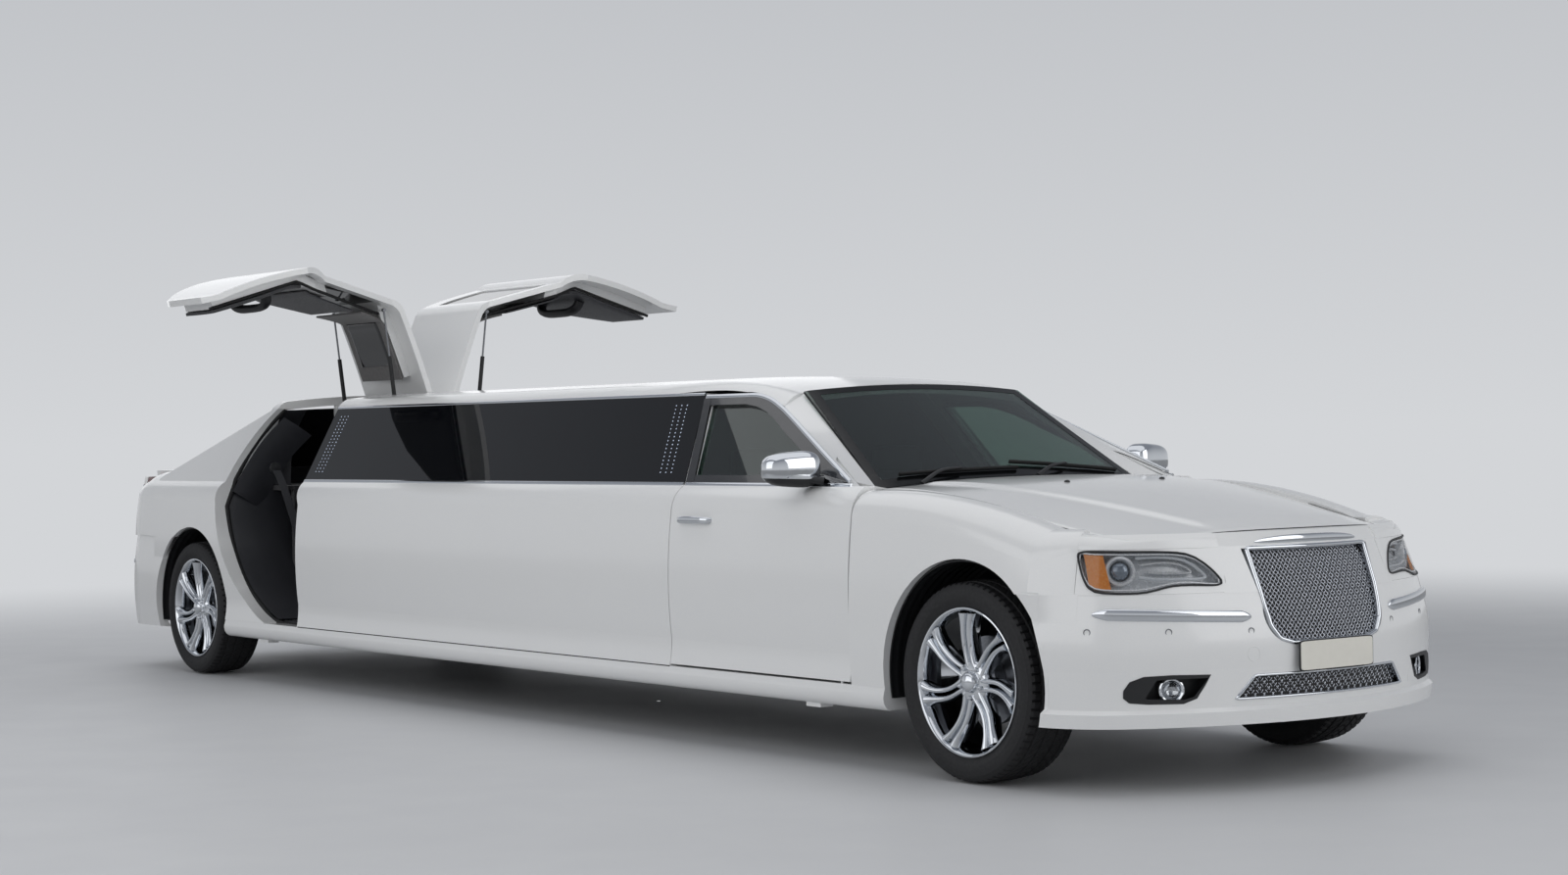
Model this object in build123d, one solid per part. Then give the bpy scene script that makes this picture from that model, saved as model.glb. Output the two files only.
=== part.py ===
"""Stretch limousine with two roof-hinged passenger doors, as an assembly of named pieces.

Millimetres, +X forward, +Y to the car's left, +Z up. The origin is mid-length on the ground.
The roof-hinged doors stand open; every other moving piece is shut and the front wheels point ahead.
"""
import math
import os

from build123d import *

# Overall size
WHEELBASE = 6430
FRONT_OVERHANG = 920
REAR_OVERHANG = 1070
LENGTH = FRONT_OVERHANG + WHEELBASE + REAR_OVERHANG
HALF_WIDTH = 954
NOSE_X = LENGTH / 2
FRONT_AXLE_X = NOSE_X - FRONT_OVERHANG
REAR_AXLE_X = FRONT_AXLE_X - WHEELBASE

# Lines that places are measured from: the axles, the tail and the widest point of the side
FORE = FRONT_AXLE_X
AFT = REAR_AXLE_X
TAIL = -LENGTH / 2
SIDE = HALF_WIDTH

# Clearances
SHUT_GAP = 5
SEAT_GAP = 0.3
GLASS_GAP = 0.4

# Wheels and arches
TYRE_RADIUS = 363
TYRE_WIDTH = 245
RIM_LIP_RADIUS = 270
RIM_SEAT_RADIUS = 254
WHEEL_Y = SIDE - 148
ARCH_RADIUS = 430
ARCH_SHIFT = 10
ARCH_Z = 375
LINER = 7
SPOKES = 7
SPINDLE_RADIUS = 24
KINGPIN_Y = WHEEL_Y - 71

# Body side, from the sill up
SILL_BOTTOM = 232
SILL_TOP = 318
DOOR_BOTTOM = SILL_TOP + SHUT_GAP + 4
BELT = (SIDE - 92, 1058)
BELT_INNER = SIDE - 139
RAIL = (SIDE - 326, 1436)
ROOF_EDGE = (SIDE - 409, 1484)
ROOF_TOP = 1512
ROOF_THICK = 45
WALL = 88
SKIN = 30

# Door shut lines along the body
FENDER_REAR_X = FORE - 616
FRONT_DOOR_FRONT_X = FENDER_REAR_X - 7
FRONT_DOOR_REAR_X = FORE - 1804
STRETCH_REAR_X = AFT + 1277
ROOF_DOOR_FRONT_X = AFT + 1145
ROOF_DOOR_REAR_X = AFT + 450
FRONT_HINGE = (FRONT_DOOR_FRONT_X - 63, SIDE - 16)
HINGE_RELIEF = 152

# Roof-hinged doors
SPINE_HALF = 62
HINGE = (76, 1494)
DOOR_EDGE_Y = 90
HINGE_BARREL = 9
OPEN_ANGLE = 73
STRUT_FOOT = (250, 1412)
STRUT_EYE_SHUT = (RAIL[0] - 43, 1400)
STRUT_X = (ROOF_DOOR_FRONT_X - 63, ROOF_DOOR_REAR_X + 68)
TUBE_RADIUS = 11
TUBE_LENGTH = 300
ROD_RADIUS = 5
ROD_LENGTH = 290

# Chassis
FLOOR_BOTTOM = 240
FLOOR_TOP = 268
FLOOR_HALF = SIDE - 154
RAIL_Y = (360, 440)
RAIL_Z = (400, 480)


def outline(start, *steps):
    """Face bounded by lines and arcs: a step is a point, or a pair of points (through, to)."""
    edges = []
    here = start
    for step in steps:
        if isinstance(step[0], tuple):
            edges.append(ThreePointArc(here, step[0], step[1]))
            here = step[1]
        else:
            edges.append(Line(here, step))
            here = step
    if here != start:
        edges.append(Line(here, start))
    return make_face(edges)


def along(face, x0, x1):
    """A section drawn in (Y, Z), carried from x0 to x1."""
    return extrude(Plane.YZ.offset(x0) * face, amount=x1 - x0)


def across(face, y0, y1):
    """A side view drawn in (X, Z), carried from y0 to y1."""
    return extrude(Plane.XZ.offset(-y1) * face, amount=y1 - y0)


def upward(face, z0, z1):
    """A plan drawn in (X, Y), carried from z0 to z1."""
    return extrude(Plane.XY.offset(z0) * face, amount=z1 - z0)


def block(x0, x1, y0, y1, z0, z1):
    """A plain box between limits."""
    return Pos((x0 + x1) / 2, (y0 + y1) / 2, (z0 + z1) / 2) * Box(x1 - x0, y1 - y0, z1 - z0)


def bar_y(x, z, radius, y0, y1):
    """A round bar across the car."""
    return Pos(x, (y0 + y1) / 2, z) * Rot(90, 0, 0) * Cylinder(radius, y1 - y0)


def bar_x(y, z, radius, x0, x1):
    """A round bar along the car."""
    return Pos((x0 + x1) / 2, y, z) * Rot(0, 90, 0) * Cylinder(radius, x1 - x0)


def other_side(shape):
    """The same piece on the other side of the car."""
    return mirror(shape, about=Plane.XZ)


def both_sides(shape):
    """A piece and its mirror image, as one list of solids."""
    return shape.solids() + other_side(shape).solids()


class EndPlan:
    """Plan curve of one end: a bulged face, a corner arc each side, then the straight flank."""

    def __init__(self, tip, bulge, corner):
        self.bulge = bulge
        self.corner = corner
        self.centre_x = tip - bulge
        self.corner_y = HALF_WIDTH - corner
        self.corner_x = self.centre_x + math.sqrt((bulge - corner) ** 2 - self.corner_y ** 2)
        self.turn = math.degrees(math.atan2(self.corner_y, self.corner_x - self.centre_x))

    def bend(self, section, at_corner, from_deg, to_deg):
        """A wall section drawn in (distance outside the plan curve, Z), turned about an arc's centre."""
        centre = (self.corner_x, self.corner_y, 0) if at_corner else (self.centre_x, 0, 0)
        radius = self.corner if at_corner else self.bulge
        a = math.radians(from_deg)
        start = Plane(origin=centre, x_dir=(math.cos(a), math.sin(a), 0),
            z_dir=(math.sin(a), -math.cos(a), 0))
        placed = start * Pos(radius, 0) * section
        return revolve(placed, axis=Axis(centre, (0, 0, 1)), revolution_arc=to_deg - from_deg)

    def station(self, section, deg):
        """A section in (distance outside the plan curve, Z), stood on the corner arc at a bearing."""
        a = math.radians(deg)
        stand = Plane(origin=(self.corner_x, self.corner_y, 0), x_dir=(math.cos(a), math.sin(a), 0),
                      z_dir=(math.sin(a), -math.cos(a), 0))
        return stand * Pos(self.corner, 0) * section

    def wall(self, section, from_deg, to_deg):
        """The wall on the left from one bearing to a smaller one, over the corner and the face."""
        pieces = []
        if from_deg > self.turn:
            pieces.append(self.bend(section, True, from_deg, max(to_deg, self.turn)))
        if to_deg < self.turn:
            pieces.append(self.bend(section, False, min(from_deg, self.turn), to_deg))
        return pieces[0] if len(pieces) == 1 else pieces[0] + pieces[1]

    def inside(self, inset, back_x, z0, z1):
        """Prism of everything inside the plan curve moved in by inset."""
        def on(at_corner, deg, side):
            a = math.radians(deg)
            radius = (self.corner if at_corner else self.bulge) - inset
            x = (self.corner_x if at_corner else self.centre_x) + radius * math.cos(a)
            y = (self.corner_y if at_corner else 0) + radius * math.sin(a)
            return (x, side * y)
        mid = (90 + self.turn) / 2
        face = outline(
            (back_x, HALF_WIDTH - inset),
            on(True, 90, 1),
            (on(True, mid, 1), on(True, self.turn, 1)),
            (on(False, 0, 1), on(True, self.turn, -1)),
            (on(True, mid, -1), on(True, 90, -1)),
            (back_x, inset - HALF_WIDTH),
        )
        return upward(face, z0, z1)


FRONT = EndPlan(tip=NOSE_X - 10, bulge=1453, corner=380)
REAR = EndPlan(tip=-TAIL - 10, bulge=2600, corner=330)


def at_rear(shape):
    """A piece drawn for the front-facing plan, turned to face the rear."""
    return mirror(shape, about=Plane.YZ)


def side_section(bottom, thick):
    """Body side below the belt: flared foot, barrel, shoulder roll, and a straight inner face."""
    inner = SIDE - thick
    return outline(
        (SIDE - 2, bottom),
        ((SIDE - 10, bottom + 52), (SIDE - 13, 430)),
        ((SIDE, 690), (SIDE - 20, 945)),
        ((SIDE - 45, 1018), BELT),
        (BELT_INNER, BELT[1]),
        (inner, 930),
        (inner, bottom),
    )


def glass_layer(outer, inner):
    """Layer of the leaning upper side, by depth behind the plane from the belt to the roof rail."""
    dy = RAIL[0] - BELT[0]
    dz = RAIL[1] - BELT[1]
    length = math.hypot(dy, dz)
    n = (dz / length, -dy / length)
    t = (dy / length, dz / length)

    def at(run, depth):
        base = BELT if run < 0 else RAIL
        return (base[0] + t[0] * run - n[0] * depth, base[1] + t[1] * run - n[1] * depth)
    return outline(at(-60, outer), at(60, outer), at(60, inner), at(-60, inner))


def roof_section(rail=RAIL, edge=ROOF_EDGE, top=ROOF_TOP):
    """Whole roof: rail flats at the edge, rolled corners, a crowned skin and a headliner below."""
    roll = ((rail[0] + edge[0]) / 2 + 13, (rail[1] + edge[1]) / 2 + 7)
    lip = (rail[0] - 53, rail[1])
    return outline(
        rail,
        (roll, edge),
        ((0, top), (-edge[0], edge[1])),
        ((-roll[0], roll[1]), (-rail[0], rail[1])),
        (-lip[0], lip[1]),
        ((0, top - ROOF_THICK), lip),
    )


def roof_door_side_view(grow=0):
    """Side view of a shut roof-hinged door: upright front edge,
    kicked-up rear edge over the wheel arch."""
    face = outline(
        (STRETCH_REAR_X - SHUT_GAP, DOOR_BOTTOM),
        (AFT + 900, DOOR_BOTTOM),
        ((AFT + 570, 500), (AFT + 365, 760)),
        ((AFT + 304, 950), (AFT + 290, 1130)),
        ((AFT + 340, 1310), (ROOF_DOOR_REAR_X, 1440)),
        (ROOF_DOOR_REAR_X, 1600),
        (ROOF_DOOR_FRONT_X, 1600),
        (ROOF_DOOR_FRONT_X, 1430),
        (AFT + 1205, 1058),
        (STRETCH_REAR_X - SHUT_GAP, 940),
    )
    return offset(face, amount=grow) if grow else face


def front_door_window_view(shrink=0):
    """Side view of the front door above the belt: a long front slope that curves into the rail."""
    face = outline(
        (FORE - 694, 1050),
        (FORE - 1305, 1322),
        ((FORE - 1460, 1393), (FORE - 1650, RAIL[1] - SHUT_GAP)),
        (FRONT_DOOR_REAR_X - 165, RAIL[1] - SHUT_GAP),
        (FRONT_DOOR_REAR_X, 1050),
    )
    return offset(face, amount=shrink) if shrink else face


def arch(x, y0=300, y1=1100):
    """The round opening over a wheel."""
    return bar_y(x + ARCH_SHIFT, ARCH_Z, ARCH_RADIUS, y0, y1)


# Front end

BUMPER_SECTION = outline(
    (-80, 236), (4, 238), (10, 286), (-6, 300), (-2, 430), ((0, 510), (-14, 600)),
    (-38, 690), (-92, 690), (-66, 600), (-52, 300), (-80, 290),
)
HEADER_SECTION = outline((-36, 686), (-96, 845), (-128, 893), (-129, 846), (-146, 836), (-90, 686))
BROW_SECTION = outline((-96, 845.5), (-128, 893), (-129, 845.5))
LAMP_SECTION = outline((-39, 690 + SEAT_GAP), (-94, 843), (-120, 843), (-180, 820),
    (-150, 690 + SEAT_GAP))
HEADLAMP_OUTER_DEG = 62
HEADLAMP_INNER_DEG = 18.6
GRILLE_VIEW = outline((325, 836), (300, 640), ((280, 545), (190, 508)), (-190, 508),
                      ((-280, 545), (-300, 640)), (-325, 836))
LOWER_GRILLE_VIEW = outline((357, 404), (431, 326), (-431, 326), (-357, 404))
FOG_VIEW = outline((502, 322), (515, 408), (700, 404), (738, 334))

bumper_half = FRONT.wall(BUMPER_SECTION, 90, 0) + FRONT.wall(BROW_SECTION, HEADLAMP_OUTER_DEG, 17.5)
bumper_half = bumper_half + FRONT.wall(HEADER_SECTION, 17.9, 0) - arch(FRONT_AXLE_X)
front_bumper = bumper_half + other_side(bumper_half)
for view in (GRILLE_VIEW, LOWER_GRILLE_VIEW, FOG_VIEW, mirror(FOG_VIEW, about=Plane.YZ)):
    front_bumper = front_bumper - along(view, FORE + 310, NOSE_X + 190)

GRILLE_SECTION = outline((-22, 500), (-72, 690), (-128, 840), (-150, 840), (-96, 690), (-46, 500))
LOWER_MESH_SECTION = outline((-24, 320), (-22, 410), (-44, 410), (-46, 320))
grilles = []
for view, section in ((GRILLE_VIEW, GRILLE_SECTION), (LOWER_GRILLE_VIEW, LOWER_MESH_SECTION)):
    layer = FRONT.bend(section, False, 20, -20)
    opening = along(offset(view, amount=-GLASS_GAP), FORE + 310, NOSE_X + 190)
    grilles = grilles + (layer & opening).solids()

headlamp = FRONT.wall(LAMP_SECTION, HEADLAMP_OUTER_DEG - 0.4, HEADLAMP_INNER_DEG)
fog_seat = FRONT.wall(outline((-30, 318), (-28, 412), (-50, 412), (-50, 318)), 60, 15)
fog_lamp = fog_seat & along(offset(FOG_VIEW, amount=-GLASS_GAP), FORE + 310, NOSE_X + 190)

# Fender sections: place, bottom width, flank width, shoulder start, shoulder through, bonnet edge
FENDER_STATIONS = (
    (FENDER_REAR_X, SIDE - 4, SIDE + 3, (SIDE - 18, 930), (SIDE - 48, 1008), (SIDE - 154, 1042)),
    (FORE - 90, SIDE - 1, SIDE + 3, (SIDE - 12, 890), (SIDE - 46, 972), (SIDE - 178, 1010)),
    (FRONT.corner_x, SIDE - 8, SIDE + 3, (SIDE - 24, 800), (SIDE - 62, 870), (SIDE - 216, 904)),
)
# Sections round the corner to the headlamp: bearing, then the same columns
CORNER_STATIONS = (
    (90, *FENDER_STATIONS[-1][1:]),
    (76, SIDE - 14, SIDE - 12, (SIDE - 60, 820), (SIDE - 90, 876), (SIDE - 216, 904)),
    (HEADLAMP_OUTER_DEG + 0.4, SIDE - 24, SIDE - 29, (SIDE - 94, 843), (SIDE - 118, 885), (SIDE - 216, 904)),
)
FENDER_THICK = 34


def fender_section(bottom, flank, start, through, top):
    """Fender wall: flank, rolled shoulder and a narrow top flange to the bonnet edge."""
    t = FENDER_THICK
    return outline(
        (bottom, SILL_TOP),
        ((flank, 640), start),
        (through, top),
        (top[0], top[1] - t),
        ((through[0] - t, through[1] - t), (start[0] - t, start[1])),
        ((flank - t, 640), (bottom - t, SILL_TOP)),
    )


fender = loft([Plane.YZ.offset(s[0]) * fender_section(*s[1:]) for s in FENDER_STATIONS])
fender = fender + loft([FRONT.station(Pos(-SIDE, 0) * fender_section(*s[1:]), s[0]) for s in CORNER_STATIONS])
fender = fender - arch(FRONT_AXLE_X) - block(FORE, NOSE_X + 90, 300, SIDE + 146, 0, 690 + SEAT_GAP)
fender = fender + block(FENDER_REAR_X + 2, FENDER_REAR_X + 22, SIDE - 119, SIDE - 24, 420, 920)

# Bonnet sections: place, half width, edge height, crown height
BONNET_REAR_X = FENDER_REAR_X - 24
BONNET_HINGE = (BONNET_REAR_X + 8, 1036)
BONNET_STATIONS = (
    (BONNET_REAR_X, SIDE - 161, 1044, 1070),
    (FORE - 190, SIDE - 181, 1016, 1056),
    (FORE + 350, SIDE - 228, 908, 992),
    (FORE + 810, SIDE - 334, 852, 890),
)
BONNET_THICK = 30


def bonnet_section(half, edge, crown):
    """Crowned plate across the car."""
    return outline(
        (half, edge),
        ((0, crown), (-half, edge)),
        (-half, edge - BONNET_THICK),
        ((0, crown - BONNET_THICK), (half, edge - BONNET_THICK)),
    )


bonnet = loft([Plane.YZ.offset(s[0]) * bonnet_section(*s[1:]) for s in BONNET_STATIONS])
bonnet = bonnet & FRONT.inside(128 + SHUT_GAP, FORE - 1290, 500, 1300)
for side in (1, -1):
    e0, e1 = sorted((side * 600, side * 641))
    bonnet = bonnet - block(BONNET_REAR_X - 50, BONNET_HINGE[0] + 15, e0, e1, 990, BONNET_HINGE[1] + 10)
    e0, e1 = sorted((side * 540, side * 600))
    bonnet = bonnet + bar_y(*BONNET_HINGE, HINGE_BARREL, e0, e1)

# Bulkhead between engine and cabin, with the hinge posts, cowl shelf and bonnet hinge brackets
BULKHEAD_X = FENDER_REAR_X - 244
bulkhead = block(BULKHEAD_X, BULKHEAD_X + 40, -FLOOR_HALF, FLOOR_HALF, FLOOR_BOTTOM, 1000)
bulkhead = bulkhead + block(BULKHEAD_X, BULKHEAD_X + 192, 10 - FLOOR_HALF, FLOOR_HALF - 10, 985, 1040)
for side in (1, -1):
    y0, y1 = sorted((side * (SIDE - 189), side * (SIDE - 119)))
    bulkhead = bulkhead + block(BULKHEAD_X, FENDER_REAR_X + 22, y0, y1, SILL_TOP, 920)
    e0, e1 = sorted((side * 600.5, side * 640))
    bulkhead = bulkhead + bar_y(*BONNET_HINGE, HINGE_BARREL, e0, e1)
    bulkhead = bulkhead + block(BONNET_REAR_X - 50, BONNET_HINGE[0], e0, e1, 1004, BONNET_HINGE[1] - 6)

# Windscreen and rear window: edge line in side view, half widths at the foot and the top, bulge across
WINDSCREEN_FOOT = (FORE - 751, 1040)
WINDSCREEN_TOP = (FORE - 1365, 1419)
REAR_GLASS_FOOT = (AFT - 506, 1096)
REAR_GLASS_TOP = (AFT + 378, 1432)
REAR_GLASS_HALF = SIDE - 366
PANE = 8


def bulged_pane(foot, top, foot_half, top_half, bulge, z_foot):
    """Glass bent across the car: an arc carried up the slope, trimmed to a tapering outline."""
    run = (top[0] - foot[0], top[1] - foot[1])
    length = math.hypot(*run)
    up = (run[0] / length, 0, run[1] / length)
    out = (abs(up[2]) * (1 if run[0] < 0 else -1), 0, abs(up[0]))
    plane = Plane(origin=(foot[0] - up[0] * 150, 0, foot[1] - up[2] * 150), x_dir=(0, 1, 0), z_dir=up)
    sign = 1 if plane.y_dir.dot(Vector(*out)) > 0 else -1
    w = foot_half + 60
    drop = bulge * (w / foot_half) ** 2 - bulge
    arc = outline(
        (w, -sign * drop),
        ((0, sign * bulge), (-w, -sign * drop)),
        (-w, sign * (-drop - PANE)),
        ((0, sign * (bulge - PANE)), (w, sign * (-drop - PANE))),
    )
    sheet = extrude(plane * arc, amount=length + 150)
    taper = outline((foot_half, foot[1] - 60), (top_half, top[1] + 60), (-top_half, top[1] + 60),
                    (-foot_half, foot[1] - 60))
    x0, x1 = sorted((foot[0] + 400 * out[0], top[0] - 400 * out[0]))
    return sheet & along(taper, x0, x1) & block(x0, x1, -SIDE, SIDE, z_foot, 1700)


windscreen = bulged_pane(WINDSCREEN_FOOT, WINDSCREEN_TOP, SIDE - 250, SIDE - 388, 45, 1040)
rear_window = bulged_pane(REAR_GLASS_FOOT, REAR_GLASS_TOP, REAR_GLASS_HALF, REAR_GLASS_HALF, 16, 1118)

below_side = along(outline((0, 900), (BELT[0] + 98, 900), BELT, RAIL, (RAIL[0] - 40, 1500),
    (0, 1500)), TAIL - 90, FORE - 590)
# Windscreen pillar stations: place, edge beside the door, edge beside the glass
PILLAR_STATIONS = (
    (FORE - 1375, (SIDE - 286, 1372), (SIDE - 387.5, 1424)),
    (FORE - 1040, (SIDE - 187, 1214), (SIDE - 314.5, 1218)),
    (FORE - 750, (SIDE - 109, 1082), (SIDE - 249.5, 1046)),
    (FORE - 678, (SIDE - 148, 1062), (SIDE - 242, 1046)),
)
PILLAR_DEEP = 42


def pillar_section(door_edge, glass_edge):
    """Four-sided pillar section below the line from the door edge to the glass edge."""
    return outline(door_edge, glass_edge, (glass_edge[0], glass_edge[1] - PILLAR_DEEP),
                   (door_edge[0] - 20, door_edge[1] - PILLAR_DEEP))


a_pillar = loft([Plane.YZ.offset(x) * pillar_section(*edges) for x, *edges in PILLAR_STATIONS],
    ruled=True)
a_pillar = a_pillar & block(FORE - 1390, FORE - 590, 400, SIDE + 46, 1040, 1600)
a_pillar = a_pillar - (along(glass_layer(-20, 46), FORE - 2090, FORE - 590)
                       & across(front_door_window_view(SHUT_GAP), 400, SIDE + 46))
a_pillar = a_pillar - block(FORE - 1890, FORE - 590, BELT_INNER - SHUT_GAP, SIDE + 46, 300,
    BELT[1] + SHUT_GAP)
a_pillar = a_pillar - Pos(*FRONT_HINGE, BELT[1]) * Cylinder(HINGE_RELIEF, 36)

# Roof: straight over the cabin, dropping to the windscreen header; a spine runs back between the doors
ROOF_STATIONS = (
    (FORE - 2690, RAIL, ROOF_EDGE, ROOF_TOP),
    (FORE - 2290, RAIL, ROOF_EDGE, ROOF_TOP),
    (FORE - 1690, (SIDE - 326, 1437), (SIDE - 404, 1474), 1494),
    (FORE - 1375, (SIDE - 286, 1372), (SIDE - 388, 1425), 1462),
)
roof = along(roof_section(), ROOF_DOOR_FRONT_X + SHUT_GAP, ROOF_STATIONS[0][0])
roof = roof + loft([Plane.YZ.offset(x) * roof_section(*lines) for x, *lines in ROOF_STATIONS])
door_room = along(glass_layer(-40, 46), FORE - 2090,
    FORE - 590) & across(front_door_window_view(SHUT_GAP), 400, SIDE + 46)
roof = roof - door_room - other_side(door_room)
spine = outline((SPINE_HALF, 1300), (SPINE_HALF, 1600), (-SPINE_HALF, 1600), (-SPINE_HALF, 1300))
roof = roof + (along(roof_section(), ROOF_DOOR_REAR_X - 30, ROOF_DOOR_FRONT_X + SHUT_GAP + 20)
               & along(spine, ROOF_DOOR_REAR_X - 110, ROOF_DOOR_FRONT_X + 95))
roof = roof + along(roof_section(), REAR_GLASS_TOP[0] - 2, ROOF_DOOR_REAR_X - SHUT_GAP)
rear_door_room = across(roof_door_side_view(SHUT_GAP), 300, SIDE + 146)
roof = roof - rear_door_room - other_side(rear_door_room)

# Hinge barrels on the spine alternate with the door's own; strut feet hang from the roof at each end
BARREL_X = (ROOF_DOOR_FRONT_X - 115, ROOF_DOOR_REAR_X + 120)
for x in BARREL_X:
    for side in (1, -1):
        for shift in (-60.5, 60.5):
            roof = roof + bar_x(side * HINGE[0], HINGE[1], HINGE_BARREL, x + shift - 30, x + shift + 30)
            y0, y1 = sorted((side * 40, side * HINGE[0]))
            roof = roof + block(x + shift - 30, x + shift + 30, y0, y1, HINGE[1] - 8, HINGE[1])
for x, edge, root in ((STRUT_X[0] + 12 + SEAT_GAP, ROOF_DOOR_FRONT_X + SHUT_GAP, ROOF_DOOR_FRONT_X + 40),
                      (STRUT_X[1] - 12 - SEAT_GAP, ROOF_DOOR_REAR_X - SHUT_GAP, ROOF_DOOR_REAR_X - 40)):
    for side in (1, -1):
        y0, y1 = sorted((side * (STRUT_FOOT[0] - 18), side * (STRUT_FOOT[0] + 18)))
        roof = roof + block(*sorted((x, root)), y0, y1, STRUT_FOOT[1] - 14, STRUT_FOOT[1] + 26)
        roof = roof + block(*sorted((edge, root)), y0, y1, STRUT_FOOT[1] + 20, STRUT_FOOT[1] + 60)

# Fixed sides between the doors
stretch_lower = along(side_section(SILL_TOP, WALL), STRETCH_REAR_X, FRONT_DOOR_REAR_X - SHUT_GAP)
POST_VIEWS = (
    outline((FORE - 1814, 1050), (FORE - 1975, RAIL[1]), (FORE - 2075, RAIL[1]), (FORE - 1920, 1050)),
    outline((AFT + 1314, 1050), (AFT + 1260, RAIL[1]), (AFT + 1152, RAIL[1]), (AFT + 1212, 1050)),
)
stretch_panel = stretch_lower
for view in POST_VIEWS:
    stretch_panel = stretch_panel + (along(glass_layer(PANE + SEAT_GAP, 50), AFT + 1040, FORE - 1690)
                                     & across(view, 400, SIDE + 46))
tip_view = outline((STRETCH_REAR_X + 20, 940), (STRETCH_REAR_X, 940), (AFT + 1212, 1058),
    (STRETCH_REAR_X + 20, 1058))
stretch_panel = stretch_panel + (along(side_section(SILL_TOP, WALL), AFT + 1150, STRETCH_REAR_X + 20)
                                 & across(tip_view, 400, SIDE + 46))
stretch_view = outline((FORE - 1816, 1066), (FORE - 1975, 1430), (AFT + 1154, 1430), (AFT + 1208, 1066))
stretch_glass = along(glass_layer(0, PANE), AFT + 1040, FORE - 1690) & across(stretch_view, 400,
    SIDE + 46)

# Front doors
window_frame = across(front_door_window_view(), 400, SIDE + 46) - across(front_door_window_view(-44),
    400, SIDE + 46)
front_door = along(side_section(DOOR_BOTTOM, WALL), FRONT_DOOR_REAR_X, FRONT_DOOR_FRONT_X)
front_door = front_door + (along(glass_layer(0, 38), FORE - 2090, FORE - 590) & window_frame)
front_door = front_door - Pos(*FRONT_HINGE, DOOR_BOTTOM) * Cylinder(7, 60)
front_glass = along(glass_layer(14, 20), FORE - 2090, FORE - 590)
front_glass = front_glass & across(front_door_window_view(-44 - GLASS_GAP), 400, SIDE + 46)
MIRROR_X = FORE - 960
mirror_arm = across(outline((MIRROR_X - 40, 1096), (MIRROR_X + 80, 1096), (MIRROR_X + 70, 1064),
    (MIRROR_X - 30, 1064)),
                    BELT[0] - 16, BELT[0] + 38)
mirror_shell = Pos(MIRROR_X, BELT[0] + 73, 1112) * Rot(0, 0, 12) * Box(96, 190, 116)
mirror_shell = fillet(mirror_shell.edges(), 26)
door_mirror = (mirror_arm + mirror_shell) - front_door - front_glass

# Roof-hinged doors, drawn shut
DOOR_OUTER = (
    ((SIDE - 10, DOOR_BOTTOM + 52), (SIDE - 13, 430)), ((SIDE, 690), (SIDE - 20, 945)),
    ((SIDE - 45, 1018), BELT), RAIL,
    ((SIDE - 354.5, 1467), ROOF_EDGE),
)


def crown_height(y, top):
    """Height of the roof crown arc at a distance from the centre line."""
    drop = ROOF_TOP - ROOF_EDGE[1]
    radius = (ROOF_EDGE[0] ** 2 + drop ** 2) / (2 * drop)
    return top - radius + math.sqrt(radius ** 2 - y ** 2)


door_skin = outline(
    (SIDE - 2, DOOR_BOTTOM), *DOOR_OUTER,
    ((300, crown_height(300, ROOF_TOP)), (DOOR_EDGE_Y, crown_height(DOOR_EDGE_Y, ROOF_TOP))),
    (DOOR_EDGE_Y, crown_height(DOOR_EDGE_Y, ROOF_TOP - SKIN)),
    ((300, crown_height(300, ROOF_TOP - SKIN)), (SIDE - 419, 1456)),
    ((SIDE - 372, 1440), (SIDE - 351, 1420)), (SIDE - 121, 1050), ((SIDE - 74, 1004), (SIDE - 50, 940)),
    ((SIDE - 30, 690), (SIDE - 43, 430)), (SIDE - 34, DOOR_BOTTOM),
)
door_box = outline(
    (SIDE - 29, 430), (SIDE - 24, 940), (SIDE - 108, 1040), (SIDE - 342, 1425), (SIDE - 414, 1462),
    (200, 1482),
    (200, 1440), (SIDE - 454, 1420), (SIDE - 394, 1392), (SIDE - 164, 1020), (SIDE - 88, 930),
    (SIDE - 88, 430),
)
inner_view = outline((AFT + 1130, 440), (AFT + 810, 440), ((AFT + 580, 600), (AFT + 470, 780)),
    (AFT + 420, 1020),
                     (AFT + 580, 1400), (AFT + 580, 1600), (AFT + 1020, 1600), (AFT + 1020, 1400),
                     (AFT + 1130, 1030))
gull_window_view = outline((AFT + 1120, 1090), (AFT + 1078, 1404), (AFT + 540, 1404),
    ((AFT + 468, 1290), (AFT + 440, 1090)))
GULL_SPAN = (ROOF_DOOR_REAR_X - 210, ROOF_DOOR_FRONT_X + 195)
gull_shut = along(door_skin, *GULL_SPAN) & across(roof_door_side_view(), 0, SIDE + 146)
gull_shut = gull_shut + (along(door_box, *GULL_SPAN) & across(inner_view, 0, SIDE + 146))
gull_shut = gull_shut - across(gull_window_view, 520, SIDE + 146)
for x, inward in zip(STRUT_X, (-1, 1)):
    stud = sorted((x + inward * (12 + SEAT_GAP), x + inward * 75))
    gull_shut = gull_shut + bar_x(*STRUT_EYE_SHUT, 6, *stud)
for x in BARREL_X:
    gull_shut = gull_shut + bar_x(*HINGE, HINGE_BARREL, x - 30, x + 30)
    gull_shut = gull_shut + block(x - 30, x + 30, HINGE[0], DOOR_EDGE_Y + 30, HINGE[1] - 8, HINGE[1])
gull_glass_shut = along(glass_layer(6, 12), *GULL_SPAN) & across(
    offset(gull_window_view, amount=-GLASS_GAP), 400, SIDE + 146)


def opened(shape):
    """A left roof-hinged door's piece, swung up about its hinge."""
    return Pos(0, *HINGE) * Rot(OPEN_ANGLE, 0, 0) * Pos(0, -HINGE[0], -HINGE[1]) * shape


gull_door = opened(gull_shut)
gull_glass = opened(gull_glass_shut)

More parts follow.
